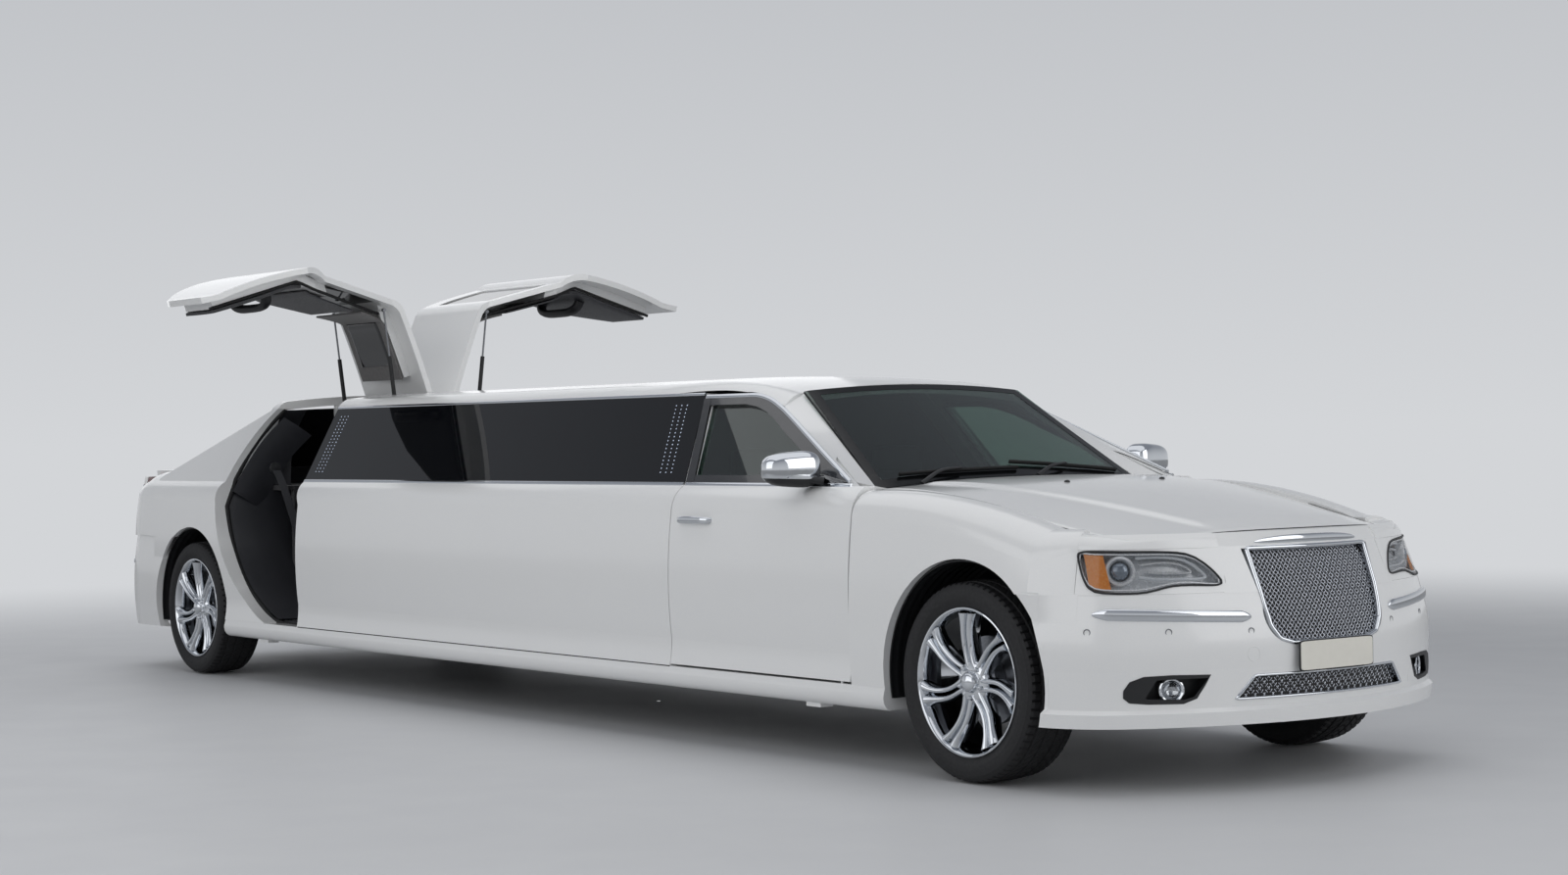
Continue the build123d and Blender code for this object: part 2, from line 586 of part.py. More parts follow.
# Gas struts, extended: tube eye on the roof, rod eye on the door
lean = math.atan2(STRUT_EYE_SHUT[1] - HINGE[1], STRUT_EYE_SHUT[0] - HINGE[0]) + math.radians(OPEN_ANGLE)
reach = math.hypot(STRUT_EYE_SHUT[0] - HINGE[0], STRUT_EYE_SHUT[1] - HINGE[1])
STRUT_EYE = (HINGE[0] + reach * math.cos(lean), HINGE[1] + reach * math.sin(lean))
strut_run = (STRUT_EYE[0] - STRUT_FOOT[0], STRUT_EYE[1] - STRUT_FOOT[1])
STRUT_LENGTH = math.hypot(*strut_run)
strut_dir = (0, strut_run[0] / STRUT_LENGTH, strut_run[1] / STRUT_LENGTH)


def strut_bar(x, start, stop, radius):
    """A round length of the strut between two distances from its foot."""
    foot = (x, STRUT_FOOT[0] + strut_dir[1] * start, STRUT_FOOT[1] + strut_dir[2] * start)
    return extrude(Plane(origin=foot, z_dir=strut_dir) * Circle(radius), amount=stop - start)


strut_tubes = []
strut_rods = []
for x in STRUT_X:
    tube = strut_bar(x, 0, TUBE_LENGTH, TUBE_RADIUS) - strut_bar(x, 40, TUBE_LENGTH + 1,
        ROD_RADIUS + SEAT_GAP)
    tube = tube + bar_x(*STRUT_FOOT, 10, x - 12, x + 12)
    rod = strut_bar(x, STRUT_LENGTH - ROD_LENGTH, STRUT_LENGTH, ROD_RADIUS) + bar_x(*STRUT_EYE, 9,
        x - 10, x + 10)
    strut_tubes = strut_tubes + tube.solids()
    strut_rods = strut_rods + rod.solids()

# Rear end
quarter_section = outline(
    (SIDE - 2, SILL_TOP), ((SIDE - 10, SILL_TOP + 60), (SIDE - 13, 430)),
    ((SIDE, 690), (SIDE - 20, 945)), ((SIDE - 45, 1018), (SIDE - 86, 1052)),
    ((SIDE - 154, 1092), (SIDE - 226, 1106)), (SIDE - 226, 1076), (SIDE - 164, 1060),
    (BELT_INNER, 1030), (SIDE - 88, 930), (SIDE - 88, SILL_TOP),
)
TAIL_LAMP_DEG = 44
BOOT_HALF_DEG = 12.0
DECK_FRONT_X = AFT - 560
BOOT_HINGE = (DECK_FRONT_X - 6, 1068)
LID_RELIEF = 56
quarter = along(quarter_section, -REAR.corner_x, AFT + 900)
quarter = quarter + at_rear(REAR.bend(Pos(-HALF_WIDTH, 0) * quarter_section, True, 90,
    TAIL_LAMP_DEG + 0.3))
c_view = outline((AFT + 840, 1045), (AFT + 840, RAIL[1]), (AFT + 380, RAIL[1]), (AFT - 580, 1070),
    (AFT - 580, 1045))
c_pillar = across(c_view, REAR_GLASS_HALF + SEAT_GAP, SIDE + 46) & below_side
quarter = quarter - block(DECK_FRONT_X + 60, AFT + 940, 500, SIDE - 154, 1040, 1200) + c_pillar
quarter = quarter - rear_door_room - arch(REAR_AXLE_X)
quarter = quarter - block(TAIL - 90, AFT, 300, SIDE + 146, 0, 748)
quarter = quarter - bar_y(*BOOT_HINGE, LID_RELIEF, 500, SIDE - 226)

REAR_BUMPER_SECTION = outline((-70, 238), (-6, 244), ((10, 470), (-2, 660)), (-14, 748 - SEAT_GAP),
                              (-64, 748 - SEAT_GAP), (-52, 660), (-44, 290))
rear_half = REAR.wall(REAR_BUMPER_SECTION, 90, 0)
rear_flank = along(Pos(HALF_WIDTH, 0) * REAR_BUMPER_SECTION, -REAR.corner_x, AFT - 340)
rear_half = at_rear(rear_half) + rear_flank - arch(REAR_AXLE_X)
rear_bumper = rear_half + other_side(rear_half)

tail_lamp = at_rear(REAR.wall(outline((-16, 748), (-34, 1040), (-110, 1040), (-110, 748)),
    TAIL_LAMP_DEG, BOOT_HALF_DEG + 0.15))

DECK_HALF = SIDE - 234
deck = outline((DECK_HALF, 1110), ((0, 1128), (-DECK_HALF, 1110)), (-DECK_HALF, 1082),
    ((0, 1100), (DECK_HALF, 1082)))
boot_lid = along(deck, TAIL - 40, DECK_FRONT_X) & at_rear(REAR.inside(30, -AFT - 1140, 500, 1300))
flange_room = at_rear(REAR.bend(outline((-232, 1000), (20, 1000), (20, 1200), (-232, 1200)), True, 90,
    42.5))
boot_lid = boot_lid - flange_room - other_side(flange_room)
lid_face = outline((-18, 756), (-40, 1060), (-30, 1106), (-80, 1106), (-100, 1060), (-86, 756))
boot_lid = boot_lid + at_rear(REAR.bend(lid_face, False, BOOT_HALF_DEG, -BOOT_HALF_DEG))
for side in (1, -1):
    e0, e1 = sorted((side * 500, side * 560))
    boot_lid = boot_lid + bar_y(*BOOT_HINGE, HINGE_BARREL, e0, e1)
    boot_lid = boot_lid + block(BOOT_HINGE[0] - 16, BOOT_HINGE[0], e0, e1, BOOT_HINGE[1], 1100)

# Chassis
BENCH_WALL_X = ROOF_DOOR_REAR_X + 30
pan = block(BENCH_WALL_X, BULKHEAD_X, -FLOOR_HALF, FLOOR_HALF, FLOOR_BOTTOM, FLOOR_TOP)
pan = pan + block(BENCH_WALL_X - 30, BENCH_WALL_X + 5, -555, 555, FLOOR_BOTTOM, 1025)
pan = pan + block(TAIL + 100, BENCH_WALL_X, -555, 555, 400, 425)
pan = pan + (block(TAIL + 50, TAIL + 160, -555, 555, 420, 740)
             & at_rear(REAR.inside(50, -AFT - 1140, 0, 900) - REAR.inside(90, -AFT - 1140, 0, 900)))
pan = pan + block(DECK_FRONT_X + 10, BENCH_WALL_X, 2 - REAR_GLASS_HALF, REAR_GLASS_HALF - 2, 1000, 1025)
pan = pan + block(DECK_FRONT_X + 55, DECK_FRONT_X + 140, 2 - REAR_GLASS_HALF, REAR_GLASS_HALF - 2,
    1020, 1118 - SEAT_GAP)
for side in (1, -1):
    e0, e1 = sorted((side * 560.5, side * (REAR_GLASS_HALF - 2)))
    pan = pan + block(BOOT_HINGE[0], DECK_FRONT_X + 30, e0, e1, 1010, BOOT_HINGE[1] - 4)
    pan = pan + bar_y(*BOOT_HINGE, HINGE_BARREL, e0, e1)
floor_pan = pan - rear_bumper

sill = outline((SIDE - 154, FLOOR_BOTTOM), (SIDE - 24, SILL_BOTTOM),
    ((SIDE - 4, 250), (SIDE + 4, 290)), (SIDE - 4, SILL_TOP), (SIDE - 154, SILL_TOP))
sills = along(sill, AFT + 440, FORE - 418) - arch(FRONT_AXLE_X) - arch(REAR_AXLE_X)
PAD_X = (FORE - 890, AFT + 840)
PAD_Y = SIDE - 64
for x in PAD_X:
    sills = sills + block(x - 45, x + 45, PAD_Y - 30, PAD_Y + 30, 214, 245)
sills = sills + Pos(*FRONT_HINGE, SILL_TOP + 15) * Cylinder(6, 34)
floor_pan = floor_pan - sills - other_side(sills)

front_rails = block(FORE + 610, FORE + 670, -RAIL_Y[1], RAIL_Y[1], *RAIL_Z)
for side in (1, -1):
    y0, y1 = sorted((side * RAIL_Y[0], side * RAIL_Y[1]))
    front_rails = front_rails + block(BULKHEAD_X + 40, NOSE_X + 10, y0, y1, *RAIL_Z)
front_rails = front_rails & FRONT.inside(52, FORE - 1290, 0, 700) - front_bumper
for piece in grilles:
    front_rails = front_rails - piece


def housing(x, y_in):
    """Wheel housing: a half tube over the wheel, closed on its inner side."""
    tube = bar_y(x + ARCH_SHIFT, ARCH_Z, ARCH_RADIUS + LINER + 3, y_in, SIDE - 104)
    hollow = bar_y(x + ARCH_SHIFT, ARCH_Z, ARCH_RADIUS + 3, y_in + LINER, SIDE - 54)
    return (tube - hollow) & block(x - 600, x + 600, y_in, SIDE - 104, 330, 900)


front_housing = housing(FRONT_AXLE_X, RAIL_Y[1])
rear_housing = housing(REAR_AXLE_X, 555) - bar_y(REAR_AXLE_X, TYRE_RADIUS, 40, 500, 600)

WHEEL_Z = TYRE_RADIUS
ARM_TOP = 262
crossmember = block(FRONT_AXLE_X - 60, FRONT_AXLE_X + 60, -440, 440, 205, ARM_TOP)
for side in (1, -1):
    y0, y1 = sorted((side * 430, side * KINGPIN_Y))
    crossmember = crossmember + block(FRONT_AXLE_X - 26, FRONT_AXLE_X + 26, y0, y1, 222, ARM_TOP)
    crossmember = crossmember + Pos(FRONT_AXLE_X, side * KINGPIN_Y, 242) * Cylinder(26, 40)
    r0, r1 = sorted((side * RAIL_Y[0], side * (RAIL_Y[1] - 10)))
    crossmember = crossmember + block(FRONT_AXLE_X - 40, FRONT_AXLE_X + 40, r0, r1, ARM_TOP - 5,
        RAIL_Z[0])

engine_block = block(FORE - 590, FORE + 130, -260, 260, 340, 860)
engine_block = engine_block + block(FORE - 190, FORE + 90, -150, 150, ARM_TOP, 345)

knuckle = Pos(FRONT_AXLE_X, KINGPIN_Y, ARM_TOP + SEAT_GAP + 100) * Cylinder(24, 200)
knuckle = knuckle + bar_y(FORE, WHEEL_Z, 44, WHEEL_Y - 94, WHEEL_Y - 30)
knuckle = knuckle + bar_y(FORE, WHEEL_Z, SPINDLE_RADIUS, WHEEL_Y - 36, WHEEL_Y + 56)

rear_axle = block(REAR_AXLE_X - 60, REAR_AXLE_X + 60, -540, 540, 262, 322) + block(AFT + 55,
    AFT + 160, -480, 480, 262, 400)
rear_axle = rear_axle + block(AFT - 40, AFT + 40, -120, 120, 280, 395)
for side in (1, -1):
    y0, y1 = sorted((side * 500, side * (WHEEL_Y - 66)))
    rear_axle = rear_axle + block(REAR_AXLE_X - 30, REAR_AXLE_X + 30, y0, y1, 268, 310)
    rear_axle = rear_axle + bar_y(REAR_AXLE_X, WHEEL_Z, 26, *sorted((side * 100, side * (WHEEL_Y - 46))))
    rear_axle = rear_axle + bar_y(REAR_AXLE_X, WHEEL_Z, 50,
        *sorted((side * (WHEEL_Y - 106), side * (WHEEL_Y - 30))))
    rear_axle = rear_axle + block(REAR_AXLE_X - 28, REAR_AXLE_X + 28,
        *sorted((side * (WHEEL_Y - 106), side * (WHEEL_Y - 66))), 280, 380)
    rear_axle = rear_axle + bar_y(REAR_AXLE_X, WHEEL_Z, SPINDLE_RADIUS,
        *sorted((side * (WHEEL_Y - 36), side * (WHEEL_Y + 56))))

PIPE_Y = 270
exhaust_half = bar_x(PIPE_Y, 205, 26, TAIL + 30, FORE - 990)
exhaust_half = exhaust_half + block(FORE - 2690, FORE - 1990, 150, 390, 165, FLOOR_BOTTOM)
exhaust_half = exhaust_half + block(AFT + 740, AFT + 1240, 160, 380, 165, FLOOR_BOTTOM)
exhaust_half = exhaust_half + block(TAIL + 230, TAIL + 310, 262, 278, 225, 400)
exhausts = both_sides(exhaust_half)

# Cabin
DASH_VIEW = outline((BULKHEAD_X, 640), (BULKHEAD_X, 975), ((FORE - 960, 1008), (FORE - 1090, 960)),
    ((FORE - 1140, 860), (FORE - 1090, 760)), (FORE - 960, 640))
dashboard = across(DASH_VIEW, 199 - SIDE, SIDE - 199)
WHEEL_CENTRE = (FORE - 1255, -375, 900)
steering_wheel = Torus(180, 15) + Cylinder(45, 40) + Box(24, 340, 16) + Pos(-90, 0, 0) * Box(180, 24, 16)
steering_wheel = steering_wheel + Pos(0, 0, -110) * Cylinder(24, 260)
steering_wheel = (Pos(*WHEEL_CENTRE) * Rot(0, 64, 0) * mirror(steering_wheel, about=Plane.XY)) - dashboard

SEAT_VIEW = outline(
    (FORE - 1330, 300), (FORE - 1330, 500), ((FORE - 1390, 560), (FORE - 1490, 545)),
    (FORE - 1770, 520), (FORE - 1900, 1040), ((FORE - 1920, 1180), (FORE - 2000, 1180)),
    ((FORE - 2010, 1100), (FORE - 2000, 1040)), (FORE - 1900, 420), (FORE - 1840, 300),
)
front_seat = across(SEAT_VIEW, 130, 640) + block(FORE - 1790, FORE - 1390, 180, 590, FLOOR_TOP, 310)
partition = along(outline((FLOOR_HALF - 5, FLOOR_TOP), (FLOOR_HALF - 5, 1000), (ROOF_EDGE[0], 1420),
                          (-ROOF_EDGE[0], 1420), (5 - FLOOR_HALF, 1000), (5 - FLOOR_HALF, FLOOR_TOP)),
                  FORE - 2140, FORE - 2110)
BENCH_VIEW = outline(
    (AFT + 1080, 300), (AFT + 1080, 470), ((AFT + 1030, 520), (AFT + 950, 510)), (AFT + 700, 490),
    (AFT + 580, 960), ((AFT + 550, 1090), (AFT + 500, 1080)),
    (AFT + 490, 960), (AFT + 485, 300),
)
rear_bench = across(BENCH_VIEW, -550, 550) + block(AFT + 540, AFT + 1020, -500, 500, FLOOR_TOP, 310)
SIDE_VIEW = outline(
    (SIDE - 614, 300), (SIDE - 624, 470), ((SIDE - 574, 520), (SIDE - 504, 510)), (SIDE - 354, 495),
    (SIDE - 264, 900), ((SIDE - 234, 985), (SIDE - 189, 960)), (SIDE - 182, 300),
)
side_bench = along(SIDE_VIEW, AFT + 1440, FORE - 2390)
side_bench = side_bench + block(AFT + 1540, FORE - 2490, SIDE - 554, SIDE - 214, FLOOR_TOP, 310)

# Wheels


def turned(profile):
    """A wheel profile drawn in (Y outward from the wheel's middle, radius), turned about the axle."""
    return revolve(Plane.YZ * profile, axis=Axis.Y, revolution_arc=360)


TREAD = TYRE_WIDTH / 2
tyre = turned(outline(
    (95, RIM_SEAT_RADIUS + 0.3), (103, RIM_LIP_RADIUS + 0.3), (113, RIM_LIP_RADIUS + 0.3),
    ((TREAD, 318), (106, 348)),
    ((100, 357), (86, 359.5)), ((0, TYRE_RADIUS), (-86, 359.5)), ((-100, 357), (-106, 348)),
    ((-TREAD, 318), (-113, RIM_LIP_RADIUS + 0.3)), (-103, RIM_LIP_RADIUS + 0.3),
    (-95, RIM_SEAT_RADIUS + 0.3),
    ((0, 262), (95, RIM_SEAT_RADIUS + 0.3)),
))
barrel = turned(outline(
    (96, RIM_SEAT_RADIUS), (104, RIM_LIP_RADIUS), (112, RIM_LIP_RADIUS), (114, 256), (96, 240),
    (30, 228), (-100, 232),
    (-112, 256), (-112, RIM_LIP_RADIUS), (-104, RIM_LIP_RADIUS), (-96, RIM_SEAT_RADIUS),
    (0, RIM_SEAT_RADIUS - 4),
))
centre = bar_y(0, 0, 78, 44, 84) + bar_y(0, 0, 34, 80, 100)
disc = bar_y(0, 0, 165, -8, 14) + bar_y(0, 0, 70, 10, 50)
centre = centre + disc - bar_y(0, 0, SPINDLE_RADIUS + SEAT_GAP, -20, 60)
spoke_view = outline((60, -26), ((150, -16), (240, -44)), (240, -12), ((180, -4), (100, 0)),
    ((180, 8), (240, 22)),
                     (240, 52), ((150, 36), (60, 26)))
spoke = across(spoke_view, 58, 92)
wheel_rim = (centre + [Rot(0, 360 * n / SPOKES, 0) * spoke for n in range(SPOKES)]) + barrel

NODES = {
    "floor_pan": floor_pan,
    "sills": both_sides(sills),
    "front_bumper": front_bumper,
    "front_fenders": both_sides(fender),
    "grilles": grilles,
    "headlamps": both_sides(headlamp),
    "fog_lamps": both_sides(fog_lamp),
    "bulkhead": bulkhead,
    "front_rails": front_rails,
    "windscreen": windscreen,
    "windscreen_pillars": both_sides(a_pillar),
    "roof": roof,
    "stretch_panels": both_sides(stretch_panel),
    "stretch_glass": both_sides(stretch_glass),
    "quarter_panels": both_sides(quarter),
    "rear_window": rear_window,
    "rear_bumper": rear_bumper,
    "tail_lamps": both_sides(tail_lamp),
    "wheel_housings": both_sides(front_housing) + both_sides(rear_housing),
    "engine_block": engine_block,
    "front_crossmember": crossmember,
    "rear_axle": rear_axle,
    "exhausts": exhausts,
    "dashboard": dashboard,
    "steering_wheel": steering_wheel,
    "front_seats": both_sides(front_seat),
    "partition": partition,
    "rear_bench": rear_bench,
    "side_bench": side_bench,
    "bonnet": bonnet,
    "boot_lid": boot_lid,
}
LEFT_MOVING = {
    "front_door": front_door,
    "door_glass": front_glass,
    "door_mirror": door_mirror,
    "gull_door": gull_door,
    "gull_glass": gull_glass,
    "strut_tubes": strut_tubes,
    "strut_rods": strut_rods,
    "knuckle": knuckle,
}
for name, shape in LEFT_MOVING.items():
    solids = shape if isinstance(shape, list) else shape.solids()
    NODES[name + "_left"] = solids
    NODES[name + "_right"] = [other_side(s) for s in solids]
for end, x in (("front", FRONT_AXLE_X), ("rear", REAR_AXLE_X)):
    for name, shape in (("tyre", tyre), ("rim", wheel_rim)):
        placed = Pos(x, WHEEL_Y, WHEEL_Z) * shape
        NODES[f"{name}_{end}_left"] = placed
        NODES[f"{name}_{end}_right"] = other_side(placed)

os.makedirs("parts", exist_ok=True)
for name, shape in NODES.items():
    solids = shape if isinstance(shape, list) else shape.solids()
    export_step(Compound(solids), os.path.join("parts", name + ".step"))
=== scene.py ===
from math import asin, cos, hypot, pi, radians, sin, sqrt
from typing import NamedTuple

import bmesh
import bpy
import numpy as np
from bpy.props import FloatProperty, FloatVectorProperty, IntProperty, PointerProperty
from bpy.types import Operator, Panel, PropertyGroup
from mathutils import Matrix


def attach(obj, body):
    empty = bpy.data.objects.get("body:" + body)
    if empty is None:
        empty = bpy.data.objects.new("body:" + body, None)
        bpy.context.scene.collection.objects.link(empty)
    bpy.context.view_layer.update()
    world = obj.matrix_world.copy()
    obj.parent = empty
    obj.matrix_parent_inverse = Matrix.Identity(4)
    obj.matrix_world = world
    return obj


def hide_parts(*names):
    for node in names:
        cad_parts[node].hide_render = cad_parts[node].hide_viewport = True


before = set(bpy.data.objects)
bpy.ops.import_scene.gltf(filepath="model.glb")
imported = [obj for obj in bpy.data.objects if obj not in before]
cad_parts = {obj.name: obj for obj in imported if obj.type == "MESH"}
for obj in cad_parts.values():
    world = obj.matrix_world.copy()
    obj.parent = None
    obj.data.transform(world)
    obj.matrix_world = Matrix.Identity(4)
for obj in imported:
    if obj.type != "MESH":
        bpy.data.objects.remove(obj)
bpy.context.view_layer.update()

bl_info = {
    "name": "Stretch limousine",
    "version": (1, 0, 0),
    "blender": (4, 5, 0),
    "location": "3D View > Sidebar > Limousine",
    "description": "Dresses the packed stretch limousine: wheels, lamps, mesh, trim, seats and finishes",
    "category": "Object",
}

SIDES = (("left", 1.0), ("right", -1.0))
AHEAD, LEFT, UP = (1, 0, 0), (0, 1, 0), (0, 0, 1)

# Lines of the body shared by the pieces, in metres: x forward, y left, z up.
FRONT_AXLE_X, REAR_AXLE_X = 3.290, -3.140
WHEEL_Y, TYRE_RADIUS = 0.806, 0.363
ARCH_AHEAD, ARCH_Z, ARCH_RADIUS = 0.010, 0.375, 0.4335
HALF_WIDTH = 0.954
# (y, z) of the side's two edges above the doors, and of the outward normal between them.
BELT, RAIL = (0.862, 1.058), (0.628, 1.436)
LEAN = (0.850, 0.526)
# (y, z) of the gull doors' hinge, and how far they stand open at rest.
HINGE, OPEN_ANGLE = (0.076, 1.494), radians(73)
# The car's ends seen from above: x of the tip, radius of the flat arc, radius of the corner arc.
NOSE, TAIL = (4.200, 1.453, 0.380), (4.200, 2.600, 0.330)
# Angles in degrees past which an edge is drawn sharp: on turned parts, on skins and on drawn bars.
EDGE, SKIN, BAR = 38, 50, 60
# Points nearer than this are one.
MERGE = 1e-6


def linear(text):
    """sRGB hex to linear: a channel up to 0.04045 over 12.92, above it ((c + 0.055) / 1.055) ** 2.4."""
    c = np.array([int(text[i:i + 2], 16) for i in (0, 2, 4)]) / 255
    c = np.where(c <= 0.04045, c / 12.92, ((c + 0.055) / 1.055) ** 2.4)
    return (*(float(v) for v in c), 1.0)


def colour_property(name, text, description):
    """A colour that a user may change, given as sRGB hex."""
    return FloatVectorProperty(name=name, description=description, subtype="COLOR", size=4, min=0, max=1,
                               default=linear(text))


def size_property(name, metres, description):
    """A length that a user may change."""
    return FloatProperty(name=name, description=description, default=metres, min=0.0005, unit="LENGTH",
                         subtype="DISTANCE", precision=4)


class LimousineColours(PropertyGroup):
    """Colours of the car's finishes."""
    paint: colour_property("Paint", "F3F3F1", "Sprayed colour of the body panels")
    leather: colour_property("Leather", "26272B", "Hide on seats and linings")
    glass: colour_property("Front glass", "82988F", "Tint of the windscreen and the front door windows")
    privacy: colour_property("Privacy glass", "08090C", "Colour of the passenger windows")
    floor: colour_property("Floor", "DADBDC", "Studio floor")


class LimousineSizes(PropertyGroup):
    """Sizes of the pieces added over the solids."""
    mesh_pitch: size_property("Mesh pitch", 0.0185, "Width of one diamond of the grille mesh")
    wire: size_property("Mesh wire", 0.0016, "Radius of a wire of the grille mesh")
    trim_width: size_property("Window trim", 0.018, "Width of the bright strips along the side windows")
    tread_depth: size_property("Tread depth", 0.007, "Depth of the tyre grooves")
    spokes: IntProperty(name="Spokes", description="Twin spokes of a wheel", default=7, min=3, max=12)
    dot: size_property("Light dot", 0.0027, "Radius of one light in the window columns")


# Shapes are pairs: an (n, 3) array of points and a list of faces.

def xyz(x, y, z):
    """Points from three arrays or numbers, spread to one shape."""
    return np.stack(np.broadcast_arrays(x, y, z), -1)


def grid(rows, cols, down=(0, 1), along=(0, 1)):
    """Two parameters over a grid: the first runs evenly down its rows, the second along its columns."""
    return np.meshgrid(np.linspace(*down, rows), np.linspace(*along, cols), indexing="ij")


def circle(count):
    """Angles evenly spaced round a full turn."""
    return np.linspace(0, 2 * pi, count, endpoint=False)


def power(value, exponent):
    """A power that keeps the sign, which squares off a sine or a cosine."""
    return np.sign(value) * np.abs(value) ** exponent


def eased(value):
    """Smooth step: 3v^2 - 2v^3 between 0 and 1."""
    v = np.clip(value, 0, 1)
    return v * v * (3 - 2 * v)


def tapered(s, share):
    """Scale along a bar that draws in over a share of its length at each end: the root of the way in."""
    return np.clip(np.minimum(s, 1 - s) / share, 0.04, 1) ** 0.5


def lattice(rows, cols, wrap_rows=False, wrap_cols=False):
    """Quads of a grid whose points are numbered row by row; a wrapped side meets its start again."""
    a, b = np.meshgrid(np.arange(rows - (not wrap_rows)), np.arange(cols - (not wrap_cols)), indexing="ij")
    a2, b2 = (a + 1) % rows, (b + 1) % cols
    return np.stack([a * cols + b, a2 * cols + b, a2 * cols + b2, a * cols + b2], -1).reshape(-1, 4)


def sheet(points, wrap_rows=False, wrap_cols=False, cap=False):
    """The surface of a (rows, cols, 3) grid; cap closes the first and last row with a face each."""
    rows, cols = points.shape[:2]
    faces = lattice(rows, cols, wrap_rows, wrap_cols).tolist()
    if cap:
        faces += [list(range(cols)), list(range((rows - 1) * cols, rows * cols))]
    return points.reshape(-1, 3), faces


def plate(outer, inner):
    """A closed plate: the outer grid, the inner grid of the same size, and the four edges between them."""
    rows, cols = outer.shape[:2]
    points = np.concatenate([outer, inner[:, ::-1]], axis=1)
    faces = lattice(rows, 2 * cols, wrap_cols=True).tolist()
    j = np.arange(cols - 1)
    for base in (0, (rows - 1) * 2 * cols):
        last = base + 2 * cols - 1
        faces += np.stack([base + j, base + j + 1, last - 1 - j, last - j], -1).tolist()
    return points.reshape(-1, 3), faces


def joined(shapes):
    """Several shapes as one, their faces renumbered."""
    points, faces, base = [], [], 0
    for p, f in shapes:
        points.append(p)
        faces += [[i + base for i in face] for face in f]
        base += len(p)
    return np.concatenate(points), faces


def rotated(points, angle, first, second, about=(0, 0)):
    """Points turned by an angle in the plane of two of their coordinates, about a place in it."""
    p = np.array(points, float)
    a, b = p[..., first] - about[0], p[..., second] - about[1]
    c, s = cos(angle), sin(angle)
    p[..., first] = about[0] + c * a - s * b
    p[..., second] = about[1] + s * a + c * b
    return p


def mirrored(shape, side):
    """A left shape as it is, or mirrored over the car's middle plane where side is -1."""
    return shape[0] * np.array((1, side, 1)), shape[1]


def opened(shape):
    """A left gull door's shape drawn shut, turned up about the roof hinge."""
    return rotated(shape[0], OPEN_ANGLE, 1, 2, HINGE), shape[1]


def directions(path, closed=False):
    """Unit tangents of a path by central differences."""
    d = np.roll(path, -1, 0) - np.roll(path, 1, 0) if closed else np.gradient(path, axis=0)
    return d / np.linalg.norm(d, axis=1, keepdims=True)


def frames(path, near, closed=False):
    """Out and up directions along a path: up is near with the tangent taken out, out is tangent x up."""
    t = directions(path, closed)
    up = np.broadcast_to(np.asarray(near, float), t.shape)
    up = up - (up * t).sum(1, keepdims=True) * t
    up = up / np.linalg.norm(up, axis=1, keepdims=True)
    return np.cross(t, up), up


def rounded(width, height, count=12, exponent=2.6):
    """A rounded bar section: the superellipse |p/w|^n + |q/h|^n = 1 of full width and height."""
    t = circle(count)
    across, rise = power(np.cos(t), 2 / exponent), power(np.sin(t), 2 / exponent)
    return np.stack([width / 2 * across, height / 2 * rise], -1)


def carried(profile, path, out, up, closed=False, scale=1.0):
    """A profile of (out, up) pairs carried along a path, its ends capped unless the path is closed.

    Each point is the path's plus scale * (p0 * out + p1 * up).
    """
    size = np.broadcast_to(np.asarray(scale, float), len(path))[:, None, None]
    section = profile[None, :, :1] * out[:, None] + profile[None, :, 1:] * up[:, None]
    return sheet(path[:, None] + size * section, wrap_rows=closed, wrap_cols=True, cap=not closed)


def bar(path, width, height, near=UP, count=12, exponent=2.6, closed=False, scale=1.0):
    """A bar of rounded section carried along a path, its height kept near a direction."""
    return carried(rounded(width, height, count, exponent), path, *frames(path, near, closed), closed, scale)


def turned(profile, origin=(0, 0, 0), axis=LEFT, count=40):
    """A loop of (distance along the axis, radius) pairs turned about an axis through origin."""
    profile = np.asarray(profile, float)
    way = np.asarray(axis, float) / np.linalg.norm(axis)
    side = np.cross(way, UP if abs(way[2]) < 0.9 else AHEAD)
    side = side / np.linalg.norm(side)
    top = np.cross(side, way)
    t = circle(count)[:, None, None]
    along, radius = profile[None, :, :1], profile[None, :, 1:]
    points = np.asarray(origin) + along * way + radius * (np.cos(t) * side + np.sin(t) * top)
    return sheet(points, True, True)


def spaced(line, places):
    """Points of a line at shares of its length."""
    run = np.concatenate([[0], np.cumsum(np.linalg.norm(np.diff(line, axis=0), axis=1))])
    return np.stack([np.interp(places * run[-1], run, line[:, k]) for k in range(line.shape[1])], -1)


def smooth_line(points, count):
    """Points evenly spaced by length along a Catmull-Rom line through the given ones."""
    p = np.asarray(points, float)
    q = np.concatenate([2 * p[:1] - p[1:2], p, 2 * p[-1:] - p[-2:-1]])
    t = np.linspace(0, 1, 24, endpoint=False)[None, :, None]
    a, b, c, d = (q[i:len(q) - 3 + i, None] for i in range(4))
    line = 2 * b + (c - a) * t + (2 * a - 5 * b + 4 * c - d) * t ** 2
    line = 0.5 * (line + (3 * b - a - 3 * c + d) * t ** 3)
    return spaced(np.concatenate([line.reshape(-1, p.shape[1]), p[-1:]]), np.linspace(0, 1, count))


def looped(outline, count, again=False):
    """Points evenly spaced by length round a closed outline; again repeats the first one at the end."""
    loop = np.concatenate([outline, outline[:1]])
    return spaced(loop, np.linspace(0, 1, count + again, endpoint=again))


def between(first, second, count):
    """A grid of points in even steps from one line to another."""
    k = np.linspace(0, 1, count)[None, :, None]
    return first[:, None] * (1 - k) + second[:, None] * k


def set_out(line, heights, widths):
    """A line of (x, z) points with y added, interpolated between widths at heights."""
    return xyz(line[:, 0], np.interp(line[:, 1], heights, widths), line[:, 1])


